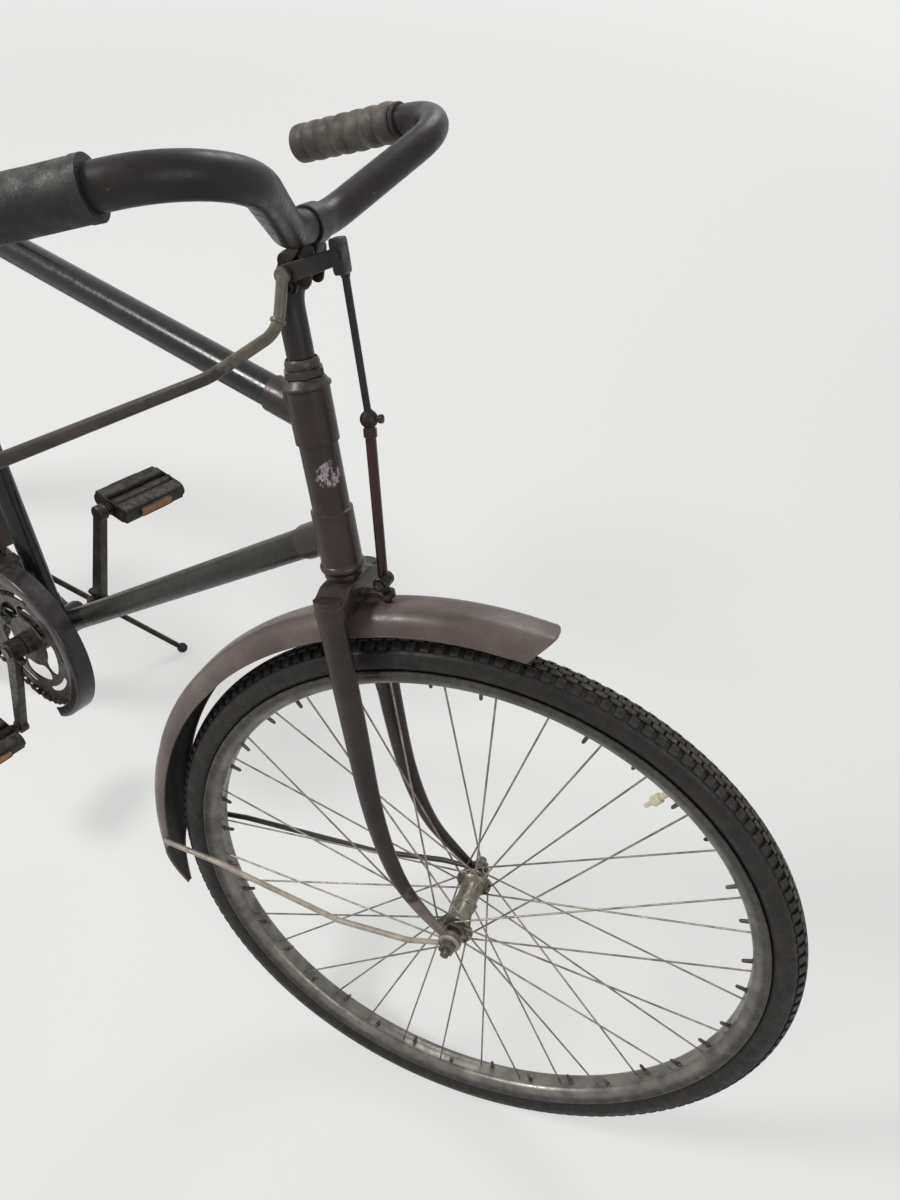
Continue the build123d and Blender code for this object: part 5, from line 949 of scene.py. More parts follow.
def dropout_shape(side):
    """Round plate on the axle with a slot that opens downwards."""
    outline = []
    for step in range(25):
        a = math.radians(-68.0 + 316.0 * step / 24)
        outline.append((FORK_RAKE + DROPOUT_R * math.cos(a), -FORK_DROP + DROPOUT_R * math.sin(a)))
    back, ahead = FORK_RAKE - SLOT_HALF_W, FORK_RAKE + SLOT_HALF_W
    outline += [(back, -FORK_DROP - SLOT_DEPTH), (back, -FORK_DROP)]
    for step in range(1, 8):
        a = math.radians(180.0 - 180.0 * step / 8)
        outline.append((FORK_RAKE + SLOT_HALF_W * math.cos(a), -FORK_DROP + SLOT_HALF_W * math.sin(a)))
    outline += [(ahead, -FORK_DROP), (ahead, -FORK_DROP - SLOT_DEPTH)]
    low = FRONT_DROPOUT_IN if side > 0 else -FRONT_DROPOUT_IN - DROPOUT_T
    return prism(outline, low, low + DROPOUT_T)


def fork_shape():
    """Crown, race, steerer and the brake rod's guide plate, with both blades and dropouts."""
    race = [(12.0, -1.0), (17.6, -1.0), (18.0, -1.4), (18.0, -5.2), (16.0, -7.2), (16.0, -8.0)]
    guide = [(GUIDE_X, -GUIDE_HALF_W)]
    for degrees in range(-150, 151, 15):
        a = math.radians(degrees)
        guide.append((PAD_X + GUIDE_R * math.cos(a), GUIDE_R * math.sin(a)))
    guide.append((GUIDE_X, GUIDE_HALF_W))
    guide_plate = loft([[(x, y, z) for x, y in guide] for z in (-27.0, -22.0)])
    steerer = spun([(STEERER_R, 0.0), (STEERER_R, STEERER_TOP), (ON_AXIS, STEERER_TOP)], 24, -1.0)
    shapes = [crown_shape(), spun(race), steerer, guide_plate]
    for side in (-1, 1):
        shapes += [blade_shape(side), dropout_shape(side)]
    return joined(*shapes)


piece("raked_fork", fork_shape(), STEER, "steering", FORK_ENAMEL, ["fork"])

# Headset: flared cover, hexagon and rounded locknut over the upper lug
HEADSET_LOW = 163.4
HEADSET_TURNED = (
    # radius, height over the head tube's gap
    (14.0, 0.0), (19.3, 0.0), (20.1, 0.7), (20.3, 2.2), (19.8, 3.2), (18.0, 4.8),
    (16.8, 7.0), (15.4, 8.5), (14.0, 8.6),
)
LOCKNUT_TURNED = (
    (12.8, 15.6), (14.0, 15.6), (14.3, 16.4), (14.3, 20.0), (13.6, 22.4), (12.75, 23.4), (12.75, 23.6),
)


def headset_shape():
    points, faces = hex_nut(31.0, 7.0)
    lift = Vector((0, 0, HEADSET_TURNED[-1][1]))
    nut = [UP @ Vector(p) + lift for p in points], faces
    parts = joined(spun(HEADSET_TURNED, 40), nut, spun(LOCKNUT_TURNED, 36))
    return moved(parts, place_at(0, 0, HEADSET_LOW))


piece("turned_headset", headset_shape(), STEER, "steering", HEADSET_ENAMEL, ["headset"])

# Stem, handlebar and grips; the bar sits a little rolled in its clamp
CLAMP = Vector((30.0, 0.0, 282.05))
STEM_BEND = Vector((0.0, 0.0, 236.05))
BAR_ROLL = 1.6
BAR_R = 12.5
STEM_R = 11.2
CLAMP_IN = 12.52
CLAMP_OUT = 14.5
BAND_HALF_W = 9.0
GRIP_R = 17.5
GRIP_BORE = 12.55
GRIP_LEN = 120.0
GRIP_PAST_END = 4.0
GRIP_STEPS = 120
BAR_CORNER = Vector((67.5, 185.5, 57.0))
BAR_END = Vector((-122.0, 241.0, 43.5))
BAR_INWARD = (BAR_CORNER - BAR_END).normalized()
BAR_PATH = (BAR_END, BAR_CORNER, Vector((0.0, 32.0, 0.0)))
BAR = STEER @ Matrix.Translation(CLAMP * MM) @ Matrix.Rotation(math.radians(BAR_ROLL), 4, "X")


def bar_shape():
    left = list(BAR_PATH)
    right = list(reversed(mirrored(left)))
    half = rounded(left + right[:1], 60.0, 14)[:-1]
    other = list(reversed(mirrored(half)))
    return tube(half + other, BAR_R, 32)


def band_rows(bore, outer, edge):
    """Section of a clamping band with its rims drawn in."""
    return both_ways([(outer, BAND_HALF_W - 0.8), (outer - edge, BAND_HALF_W), (bore, BAND_HALF_W)])


def stem_shape():
    path = rounded([(0, 0, 187.05), STEM_BEND, CLAMP], 40.0, 10)
    path = path[:-1] + [path[-2].lerp(path[-1], 0.82)]
    roll = Matrix.Translation(CLAMP) @ Matrix.Rotation(math.radians(BAR_ROLL), 4, "X")
    return joined(tube(path, STEM_R, 28), turned(band_rows(CLAMP_IN, CLAMP_OUT, 0.8), 36, roll))


piece("bent_bar", bar_shape(), BAR, "steering", BAR_ENAMEL, ["handlebar"])
piece("bent_stem", stem_shape(), STEER, "steering", BAR_ENAMEL, ["stem"])


def grip_profile(length, ridges):
    """Radius along a grip from its open end to its round one, plain or with wrapped ridges."""
    rows = []
    for step in range(GRIP_STEPS + 1):
        share = step / GRIP_STEPS
        radius = GRIP_R - 0.7
        if ridges:
            wave = abs(math.sin(math.pi * ridges * share))
            radius = GRIP_R - 2.6 + 2.6 * wave**0.45
        elif share < 0.05:
            radius = GRIP_R - 0.2
        if share > 0.97:
            radius = GRIP_R - 0.1 - 5.0 * ((share - 0.97) / 0.03) ** 2
        rows.append((min(radius, GRIP_R), share * length))
    return rows


def grip_shape(side, ridges):
    """A grip on its end of the bar, with small lumps all over."""
    start = BAR_END + BAR_INWARD * GRIP_LEN
    end = BAR_END - BAR_INWARD * GRIP_PAST_END
    length = (end - start).length
    rows = [(GRIP_BORE, 0.0)] + grip_profile(length, ridges) + [(8.0, length), (ON_AXIS, length)]
    points, faces = lathe(rows, 40)
    place = between(start, end)
    made = []
    for index, p in enumerate(points):
        q = place @ Vector(p)
        if 0 < index % len(rows) < len(rows) - 2:
            axis = start + (end - start) * (p[1] / length)
            lump = noise.noise(q * 0.03) * 0.35 + noise.noise(q * 0.09) * 0.15
            out = q - axis
            q = axis + out * (1.0 - max(0.25 + lump, 0.0) / GRIP_R)
        made.append(q)
    return mirrored_shape((made, faces)) if side < 0 else (made, faces)


piece("wrapped_grip", grip_shape(1, 7), BAR, "steering", FAR_GRIP_RUBBER, ["grip_left"])
piece("smooth_grip", grip_shape(-1, 0), BAR, "steering", GRIP_RUBBER, ["grip_right"])


def grip_band():
    """A dark ring at the grip's open end."""
    start = BAR_END + BAR_INWARD * (GRIP_LEN + 6.0)
    end = BAR_END + BAR_INWARD * (GRIP_LEN + 0.5)
    rows = [(GRIP_BORE, 0.0), (14.6, 0.2), (15.4, 1.2), (15.4, 4.0), (14.6, 5.2), (GRIP_BORE, 5.4)]
    return turned(rows, 36, between(start, end))


piece("grip_ring", grip_band(), BAR, "steering", RUBBER)

# Lug, bolt and nut under the bar's clamp
LUG_TOP = (30.0, 269.5)
LUG_LOW = (27.0, 262.0)
LUG_R = 6.2
LUG_HALF_W = 7.5


def clamp_bolt():
    x, z = LUG_LOW
    lug = prism(stadium(LUG_TOP, LUG_LOW, LUG_R, LUG_R), -LUG_HALF_W, LUG_HALF_W, 1.2)
    bolt = moved(hex_nut(10.0, 5.0), facing(x, 0.1 - LUG_HALF_W, z, -1))
    nut = moved(dome_nut(10.0, 5.0), facing(x, LUG_HALF_W - 0.1, z, 1))
    return joined(lug, bolt, nut)


piece("clamp_bolt", clamp_bolt(), STEER, "steering", DARK_STEEL)

# Brake: band and lobed plates on the stem, lever, flat arm, socket and rods
BRAKE_SHAFT = Vector((12.0, 0.0, 252.0))
LEVER_PATH = ((12.0, -23.0, 252.0), (5.0, -33.0, 215.0), (-20.0, -95.5, 199.0), (-65.5, -252.0, 196.0))
ROD_EYE = Vector((57.0, -12.0, 262.0))
ROD_BALL = Vector((50.0, 0.0, 136.0))
ROD_LOW = Vector((37.0, 0.0, -12.0))
ROD_RUN = (ROD_BALL - ROD_EYE).normalized()
LEVER_R = 4.5
LEVER_TIP_FROM = 0.985
BALL_R = 7.5
PAD_T = 9.0
PAD_LOW = -FORK_DROP + math.sqrt((TYRE_R + 6.0) ** 2 - (FORK_RAKE - PAD_X) ** 2) + 1.0
PAD_TOP = PAD_LOW + PAD_T


def on_shaft(y):
    return place_at(BRAKE_SHAFT.x, y, BRAKE_SHAFT.z)


def on_pad_rod(z):
    """Place on the pad's rod whose Y points up it."""
    return place_at(PAD_X, 0, z) @ UP


def lever_shape():
    """Round bar from its knuckle on the shaft, over two bends, to a rounded tip."""
    first_bend = rounded(LEVER_PATH[:3], 25.0, 10)
    second_bend = rounded([first_bend[-2], LEVER_PATH[2], LEVER_PATH[3]], 60.0, 12)
    path = first_bend[:-1] + second_bend[1:]
    before, last = path[-2:]
    path[-1:] = [before.lerp(last, 0.97), before.lerp(last, 0.985), last]
    path.append(last + (last - before).normalized() * 3.5)

    def thick(share):
        if share > LEVER_TIP_FROM:
            past = (share - LEVER_TIP_FROM) / 0.0152
            return LEVER_R * math.sqrt(max(1.0 - past**2, 0.02))
        return LEVER_R if share > 0.03 else LEVER_R + 0.05

    knuckle = [(ON_AXIS, 0.0), (5.4, 0.0), (6.0, 0.7), (6.0, 4.3), (5.4, 5.0), (ON_AXIS, 5.0)]
    shaft = [(ON_AXIS, 0.0), (4.0, 0.0), (4.0, 8.0), (ON_AXIS, 8.0)]
    collar = [(4.4, 0.0), (5.9, 0.6), (6.2, 2.0), (5.9, 3.4), (4.4, 4.0)]
    return joined(
        tube(path, thick, 22),
        turned(knuckle, 24, on_shaft(-26.0)),
        turned(shaft, 20, on_shaft(-25.0)),
        turned(collar, 20, between(path[3], path[4])),
    )


def arm_shape():
    """Flat arm from the lever's shaft to the rod, with the blocky socket that takes its end."""
    x, z = ROD_EYE.x, ROD_EYE.z - 1.0
    bar = stadium((BRAKE_SHAFT.x, BRAKE_SHAFT.z), (x - 2.0, z), 7.0, 5.8)
    block = [(x + dx, z + dz) for dx, dz in squircle(4.9, 12.5, 28, 7.0)]
    return joined(prism(bar, -20.6, -16.6, 0.9), prism(block, -21.6, -8.6, 1.0))


def hanging_plates():
    """Two oval plates that hang from the clamp's bolt to the brake's band."""
    outline = stadium((28.5, 266.0), (23.0, 246.0), 6.4, 5.6)
    return joined(*[prism(outline, low, low + 2.4, 0.6) for low in (-12.6, 7.6)])


piece("brake_grip_bar", lever_shape(), STEER, "steering", LEVER_STEEL, ["brake_lever"])
piece("brake_flat_arm", arm_shape(), STEER, "steering", BRAKE_BLACK)
piece("hanging_plates", hanging_plates(), STEER, "steering", BRAKE_BLACK)


def bracket_shape():
    """Band round the stem with the shaft's boss, its lobed plate and two bolts."""
    share = (BRAKE_SHAFT.z - STEM_BEND.z) / (CLAMP.z - STEM_BEND.z)
    middle = STEM_BEND.lerp(CLAMP, share)
    along_stem = (CLAMP - STEM_BEND).normalized()
    band = turned(band_rows(11.25, 13.7, 0.5), 32, between(middle, middle + along_stem))
    boss = turned([(7.6, -16.4), (8.4, -15.6), (8.4, -9.0)], 28, on_shaft(0.0))
    x, z = BRAKE_SHAFT.x, BRAKE_SHAFT.z
    plate = prism(stadium((x, z - 9.0), (x, z + 9.0), 6.2, 6.2), -16.5, -13.5, 0.5)
    ear = prism(stadium((x, z + 9.0), (x + 9.0, z + 16.5), 4.6, 4.0), -16.2, -14.0, 0.4)
    bolt = moved(hex_nut(8.0, 3.6), facing(x, -16.5, z - 9.0, -1))
    far_nut = moved(hex_nut(8.0, 4.0), facing(x - 2.0, 13.4, z - 5.0, 1))
    return joined(band, boss, plate, ear, bolt, far_nut)


piece("brake_band", bracket_shape(), STEER, "steering", DARK_STEEL, ["brake_bracket"])


def upper_rod():
    start = ROD_EYE - ROD_RUN * 9.0
    socket = [(ON_AXIS, 0.0), (4.0, 0.0), (4.9, 0.9), (4.9, 17.0), (4.3, 19.0), (3.5, 25.0), (3.0, 26.0)]
    rod = tube([ROD_EYE, ROD_BALL], 3.0, 14)
    pin = [(ON_AXIS, -2.0), (3.2, -2.0), (3.2, 0.0), (2.0, 0.2), (2.0, 9.0), (ON_AXIS, 9.0)]
    pin_at = place_at(ROD_EYE.x, -21.5, ROD_EYE.z)
    return joined(turned(socket, 20, between(start, ROD_BALL)), rod, turned(pin, 16, pin_at))


def ball_clamp():
    ball = []
    for step in range(13):
        a = math.pi * step / 12
        ball.append((max(BALL_R * math.sin(a) + ON_AXIS, 3.2), -BALL_R * math.cos(a)))
    screw = [(2.4, 0.0), (2.4, 9.0), (3.6, 9.2), (3.6, 12.0), (ON_AXIS, 12.2)]
    ahead = between(ROD_BALL, ROD_BALL + Vector((1, 0, 0)))
    return joined(turned(ball, 26, between(ROD_BALL, ROD_LOW)), turned(screw, 16, ahead))


def lower_rod():
    rod = tube([ROD_BALL.lerp(ROD_LOW, 0.03), ROD_LOW], 4.5, 16)
    ferrule = [(4.6, 0.0), (5.6, 0.4), (5.6, 7.0), (4.6, 8.0)]
    return joined(rod, turned(ferrule, 18, between(ROD_BALL.lerp(ROD_LOW, 0.05), ROD_LOW)))


def foot_clamp():
    """Drum with its nuts and wing, and the short rod, nut and plate over the pad."""
    x, z = ROD_LOW.x, ROD_LOW.z
    drum = turned(band_rows(ON_AXIS, 7.0, 0.8), 26, Matrix.Translation(ROD_LOW))
    near = moved(dome_nut(9.0, 3.0), facing(x, -BAND_HALF_W, z, -1))
    far = moved(hex_nut(9.0, 2.0), facing(x, BAND_HALF_W, z, 1))
    wing = prism(stadium((x, z), (x + 10.0, z + 9.0), 4.6, 3.0), -8.4, -6.6, 0.4)
    rod = tube([(PAD_X, 0, z), (PAD_X, 0, PAD_TOP + 2.0)], 3.5, 14)
    nut = moved(hex_nut(11.0, 4.0), between((PAD_X, 0, PAD_TOP + 2.2), (PAD_X, 0, PAD_TOP + 20.0)))
    plate = moved(prism(squircle(17.0, 10.0, 28, 6.0), 0.0, 2.0, 0.4), on_pad_rod(PAD_TOP))
    return joined(drum, near, far, wing, rod, nut, plate)


piece("upper_rod", upper_rod(), STEER, "steering", ROD_BLACK, ["brake_rod"])
piece("ball_clamp", ball_clamp(), STEER, "steering", DARK_STEEL)
piece("lower_rod", lower_rod(), STEER, "steering", RED_ROD)
piece("foot_clamp", foot_clamp(), STEER, "steering", DARK_STEEL)
pad_block = moved(prism(squircle(16.0, 9.0, 28, 6.0), 0.0, PAD_T, 1.0), on_pad_rod(PAD_LOW))
piece("rubber_shoe", pad_block, STEER, "steering", RUBBER, ["brake_pad"])


# Tyres: casing with mould lines, and a tread of cut blocks
BLOCKS_ROUND = 154
CASING_STEPS = 34
BEAD_TURN = 142.0
TREAD_ROWS = (
    # from, to in degrees round the section, share of the pitch filled, shift of the row
    (27.0, 55.0, 0.62, 0.0),
    (10.5, 24.0, 0.8, 0.5),
    (-7.5, 7.5, 0.86, 0.0),
    (-24.0, -10.5, 0.8, 0.5),
    (-55.0, -27.0, 0.62, 0.0),
)
TREAD_BASE = 15.7
TREAD_LEVELS = (
    # size of the section, and how far the block is drawn in there
    (TREAD_BASE - 0.4, 0.0), (SECTION_R - 0.45, 0.1), (SECTION_R, 0.75),
)
BLOCK_CORNERS = (
    # end of the block, share of the row's width, degrees drawn in
    (-1, 0.0, 3.0), (-1, 0.5, 0.0), (-1, 1.0, -3.0), (1, 1.0, -3.0), (1, 0.5, 0.0), (1, 0.0, 3.0),
)


def casing_size(turn):
    """Radius of the casing at a turn in degrees from the crown, with two fine mould lines."""
    size = TREAD_BASE + 2.3 * min(1.0, max(0.0, (abs(turn) - 48.0) / 12.0))
    for line in (66.0, 118.0):
        size += 0.5 * math.exp(-(((abs(turn) - line) / 1.6) ** 2))
    return size


def section_point(turn, size):
    a = math.radians(turn)
    return SECTION_CENTRE_R + size * math.cos(a), size * math.sin(a)


def tyre_shape():
    profile = []
    for step in range(2 * CASING_STEPS + 1):
        turn = BEAD_TURN * (step / CASING_STEPS - 1.0)
        profile.append(section_point(turn, casing_size(turn)))
    profile += [(RIM_OUTER_R - 4.5, 9.5), (RIM_OUTER_R - 4.5, -9.5)]
    shapes = [lathe(profile, 180, closed=True)]
    for low, high, filled, shift in TREAD_ROWS:
        for index in range(BLOCKS_ROUND):
            shapes.append(tread_block(low, high, filled, (index + shift) * 360.0 / BLOCKS_ROUND))
    return joined(*shapes)


def tread_block(low, high, filled, middle):
    """One block of a row, with its middle at an angle in degrees round the wheel."""
    half = 180.0 / BLOCKS_ROUND * filled
    rings = []
    for size, inset in TREAD_LEVELS:
        ring = []
        for along, across, drawn in BLOCK_CORNERS:
            turn = low + (high - low) * across + inset * drawn
            radius, side = section_point(turn, size)
            angle = math.radians(middle + along * (half - inset * 0.16))
            ring.append(around(radius, side, angle))
        rings.append(ring)
    points, faces = loft(rings, caps=False)
    top = len(points) - len(BLOCK_CORNERS)
    faces += [(top + 0, top + 1, top + 4, top + 5), (top + 1, top + 2, top + 3, top + 4)]
    return points, faces


# Rims: a rolled edge each side of a shallow spoke bed
RIM_SIDE = (
    # radius, side distance of the outer skin, from the bed to the rolled edge
    (RIM_INNER_R + 0.6, 2.0),
    (RIM_INNER_R, 5.5),
    (RIM_INNER_R + 0.8, 8.6),
    (RIM_INNER_R + 3.2, 11.6),
    (RIM_INNER_R + 6.6, 13.6),
    (RIM_INNER_R + 10.5, 14.6),
    (RIM_INNER_R + 13.6, 14.9),
    (RIM_INNER_R + 14.6, 15.7),
    (RIM_INNER_R + 16.2, 16.0),
    (RIM_INNER_R + 17.6, 15.5),
    (RIM_INNER_R + 18.0, 14.4),
    (RIM_INNER_R + 17.0, 13.6),
    (RIM_INNER_R + 12.0, 12.8),
    (RIM_INNER_R + 7.0, 9.0),
)


def rim_shape():
    return lathe(both_ways(RIM_SIDE), 200, closed=True)


# Spokes cross three others on the way to the flange
SPOKE_CROSS = math.radians(3 * 720.0 / SPOKE_COUNT)
NIPPLE = (
    (ON_AXIS, -1.0), (3.0, -1.0), (3.0, 1.2), (2.1, 2.0), (1.9, 10.0), (1.1, 11.5), (ON_AXIS, 11.5),
)
SPOKE_HEAD = ((2.1, 0.0), (1.9, 0.7), (1.1, 1.2), (ON_AXIS, 1.4))


def flange_hole(angle, outward, pitch_r, y):
    """Where a spoke from an angle at the rim meets its flange."""
    turn = angle + SPOKE_CROSS * (1 if outward else -1)
    return Vector(around(pitch_r, y, turn))


def spoke_ends():
    """Angle round the rim and side distance of each spoke hole, and which way the spoke runs."""
    ends = []
    for index in range(SPOKE_COUNT):
        side = 1 if index % 2 else -1
        outward = (index // 2) % 2
        ends.append((2 * math.pi * index / SPOKE_COUNT, side * (4.2 if outward else 1.2), side, outward))
    return ends


def nipples_shape(pitch_r, flange_y):
    """Nipples in the rim's bed, each turned towards its hole in the flange."""
    shapes = []
    for angle, rim_y, side, outward in spoke_ends():
        hub = flange_hole(angle, outward, pitch_r, side * flange_y)
        shapes.append(turned(NIPPLE, 8, between(around(RIM_INNER_R + 1.0, rim_y, angle), hub)))
    return joined(*shapes)


def heads_shape(pitch_r, flange_y):
    """Rivet-like spoke heads on both faces of each flange."""
    shapes = []
    for angle, _, side, outward in spoke_ends():
        face = side * (flange_y + (-1.6 if outward else 1.6))
        hub = flange_hole(angle, outward, pitch_r, face)
        shapes.append(turned(SPOKE_HEAD, 8, facing(*hub, -side if outward else side)))
    return joined(*shapes)


VALVE_TURN = 42.5
VALVE_PROFILE = (
    # radius, height above the rim bed
    (4.6, 0.0), (4.6, 2.4), (3.1, 2.6), (3.1, 12.0), (4.9, 12.2), (5.1, 13.0), (5.1, 21.0),
    (4.3, 22.0), (2.4, 22.6), (2.2, 30.0), (1.5, 31.5), (ON_AXIS, 31.8),
)


def valve_shape():
    bed = around(RIM_INNER_R, 0, math.radians(VALVE_TURN))
    return turned(VALVE_PROFILE, 16, between(bed, (0, 0, 0)))


WHEELS = (
    # name, frame, tyre look, rim look, spoke pitch radius, flange distance
    ("front", FRONT_WHEEL, FRONT_TYRE, FRONT_RIM, 17.0, 33.0),
    ("rear", REAR_WHEEL, REAR_TYRE, REAR_RIM, 29.5, 29.0),
)
for end, place, rubber, steel, pitch_r, flange_y in WHEELS:
    body = end + "_wheel"
    piece("cut_tyre_" + end, tyre_shape(), place, body, rubber, ["tyre_" + end])
    piece("rolled_rim_" + end, rim_shape(), place, body, steel, ["rim_" + end])
    piece("nipples_" + end, nipples_shape(pitch_r, flange_y), place, body, BROWN_STEEL)
    piece("spoke_heads_" + end, heads_shape(pitch_r, flange_y), place, body, SPOKE_STEEL)
    piece("valve_" + end, valve_shape(), place, body, CREAM)


# Hubs: turned shells with an oiler clip
FRONT_HUB = (
    # radius, distance from the middle
    (5.2, 39.0), (10.6, 39.0), (12.2, 38.2), (12.5, 36.8), (12.8, 34.8), (19.3, 34.4), (20.0, 33.7),
    (20.0, 32.3), (19.3, 31.6), (15.0, 31.0), (12.7, 28.0), (11.9, 20.0), (11.6, 8.0),
)
REAR_HUB = (
    # radius, distance from the middle
    (5.2, 36.0), (20.5, 36.0), (22.2, 35.3), (22.5, 34.0), (22.9, 30.8), (32.2, 30.4), (33.0, 29.7),
    (33.0, 28.3), (32.2, 27.6), (26.0, 27.0), (23.0, 24.0), (22.4, 16.0), (22.2, 6.0),
)
OILER_CLIP = (
    # height over the barrel, side distance
    (-0.6, -4.6), (0.7, -4.2), (0.9, 0.0), (0.7, 4.2), (-0.6, 4.6),
)
HUBS = (
    # end, frame, half profile, radius under the oiler clip
    ("front", FRONT_WHEEL, FRONT_HUB, 11.8),
    ("rear", REAR_WHEEL, REAR_HUB, 22.3),
)


def hub_shape(half, clip_r):
    shell = lathe(both_ways(half[::-1]), 48, closed=True)
    clip = [(clip_r + out, y) for out, y in OILER_CLIP]
    knob = [(2.6, 0.0), (2.6, 1.6), (1.6, 2.6), (ON_AXIS, 2.8)]
    knob_at = between((clip_r, 0, 0), (clip_r + 9.0, 0, 0))
    return joined(shell, lathe(clip, 40), turned(knob, 14, knob_at))


for end, place, half, clip_r in HUBS:
    name = "hub_" + end
    piece("turned_" + name, hub_shape(half, clip_r), place, end + "_wheel", HUB_STEEL, [name])

# Cranks: tapered arms with cotter pins, each frame's Z running out to its pedal
CRANK = 170.0
ARM_IN = 61.5
ARM_OUT = 72.5
CRANK_BOSS = ((8.2, 55.2), (13.2, 55.2), (14.5, 56.6), (14.5, 75.4), (13.2, 76.8), (8.2, 76.8))
CRANK_EYE = ((4.0, 60.6), (9.4, 60.6), (10.5, 61.8), (10.5, 72.2), (9.4, 73.4), (4.0, 73.4))
PEDAL_SPINDLE = (
    (ON_AXIS, 60.0), (5.9, 60.0), (5.9, 76.0), (7.4, 76.2),
    (7.4, 79.5), (5.9, 79.8), (5.9, 171.5), (ON_AXIS, 171.5),
)
COTTER = (
    (ON_AXIS, -19.0), (3.8, -19.0), (4.6, -18.2), (4.6, 15.0), (3.4, 15.4), (3.4, 20.0), (ON_AXIS, 20.2),
)
COTTER_Y = 66.0
COTTER_Z = 10.5


def crank_frame(side):
    origin = BRACKET.translation
    axle = BRACKET.to_3x3() @ Vector((0, 1, 0))
    return axes(origin, axle, PEDAL_PLACES[side].translation - origin)


def crank_shape(side):
    """Arm with its boss, its eye and the pedal's spindle, and a cotter pin with its nut."""
    eye_at = place_at(0, 0, CRANK)
    spindle = turned(PEDAL_SPINDLE, 24, eye_at)
    boss = lathe(CRANK_BOSS, 36, closed=True)
    eye = moved(lathe(CRANK_EYE, 30, closed=True), eye_at)
    arm = prism(stadium((0.0, 6.0), (0.0, CRANK), 9.4, 6.9, 12), ARM_IN, ARM_OUT, 2.2)
    pin = turned(COTTER, 18, between((0, COTTER_Y, COTTER_Z), (10, COTTER_Y, COTTER_Z)))
    nut = moved(hex_nut(11.0, 4.4, 3.0), between((14.2, COTTER_Y, COTTER_Z), (30, COTTER_Y, COTTER_Z)))
    whole = joined(spindle, boss, eye, arm, pin, nut)
    return whole if side == "left" else mirrored_shape(whole)


for side in ("left", "right"):
    name = "crank_" + side
    piece("forged_" + name, crank_shape(side), crank_frame(side), "cranks", CRANK_STEEL, [name])

# Pedals: ribbed rubber blocks, amber lenses in black bezels, nuts and dust cap
PEDAL_IN = -36.0
PEDAL_OUT = 56.0
BLOCK_X = 20.5
BLOCK_RIBS = 26
REFLECTOR_X = 31.05


def block_shape(x):
    """A rubber block with ribs across, cut deeper on its upper and lower faces."""
    rings = []
    pitch = (PEDAL_OUT - PEDAL_IN) / BLOCK_RIBS
    for rib in range(BLOCK_RIBS):
        start = PEDAL_IN + rib * pitch
        for at, low in ((0.0, 0.7), (0.15, 0.0), (0.7, 0.0), (0.85, 0.7)):
            y = start + at * pitch
            ring = []
            for px, pz in squircle(10.5, 11.0, 32, 5.0):
                cut = low if abs(pz) > 6.5 else low * 0.35
                ring.append((x + px * (1.0 - cut / 14.0), y, pz * (1.0 - cut / 11.0)))
            rings.append(ring)
    return loft(rings)


def lens_shape():
    return prism(squircle(24.9, 5.5, 36, 7.0), 1.0, 2.6, 0.4)


def bezel_shape():
    """A shallow tray round the lens."""
    outer = squircle(26.0, 6.5, 36, 7.0)
    inner = squircle(25.1, 5.7, 36, 7.0)
    levels = ((outer, 0.05), (outer, 2.9), (inner, 2.9), (inner, 1.0))
    return loft([[(x, y, z) for x, z in outline] for outline, y in levels])


def both_sides(plate):
    """The plate on the pedal's front and back, its outline along the pedal, its thickness out."""
    shapes = []
    for sign in (-1, 1):
        turn = Matrix(((0, sign, 0), (1, 0, 0), (0, 0, 1))).to_4x4()
        shapes.append(moved(plate, place_at(sign * REFLECTOR_X, 10.0, 0.0) @ turn))
    return joined(*shapes)


def pedal_ends():
    """Dust cap and two nuts on the outer plate, and the bearing's collar on the inner one."""
    outer_y, inner_y = PEDAL_OUT + 2.0, PEDAL_IN - 2.0
    cap = [(9.0, 0.0), (9.4, 0.4), (9.4, 1.6), (6.0, 2.0), (5.4, 1.2), (ON_AXIS, 1.2)]
    collar = [(6.0, 0.0), (8.6, -0.4), (8.6, -3.0), (5.2, -3.6)]
    shapes = [turned(cap, 30, place_at(0, outer_y, 0)), turned(collar, 26, place_at(0, inner_y, 0))]
    for x in (-BLOCK_X, BLOCK_X):
        shapes.append(moved(hex_nut(8.0, 3.0, 2.2), place_at(x, outer_y, 0)))
    return joined(*shapes)


for side in ("left", "right"):
    body = "pedal_" + side
    place = PEDAL_PLACES[side]
    blocks = joined(block_shape(-BLOCK_X), block_shape(BLOCK_X))
    piece("ribbed_blocks_" + side, blocks, place, body, RUBBER, [body + "_blocks"])
    piece("bezels_" + side, both_sides(bezel_shape()), place, body, RUBBER)
    lenses = both_sides(lens_shape())
    piece("lenses_" + side, lenses, place, body, AMBER, [body + "_reflectors"])
    piece("pedal_ends_" + side, pedal_ends(), place, body, DARK_STEEL)

# Chain: rollers and alternate pairs of waisted plates along the run round both toothed wheels
PITCH = 12.7
RING_PITCH_R = 93.03
SPROCKET_PITCH_R = 36.57
REAR_AXLE = BRACKET.inverted() @ REAR_WHEEL.translation * 1000.0
LINK_END_R = 4.1
LINK_WAIST = 3.0
SPROCKET_STEPS = 240
RING_STEPS = 480
ROLLER = (
    # half of a roller with its pin: radius, side distance
    (3.7, 2.1), (1.9, 2.2), (1.9, 4.4), (1.7, 4.8), (ON_AXIS, 4.8),
)


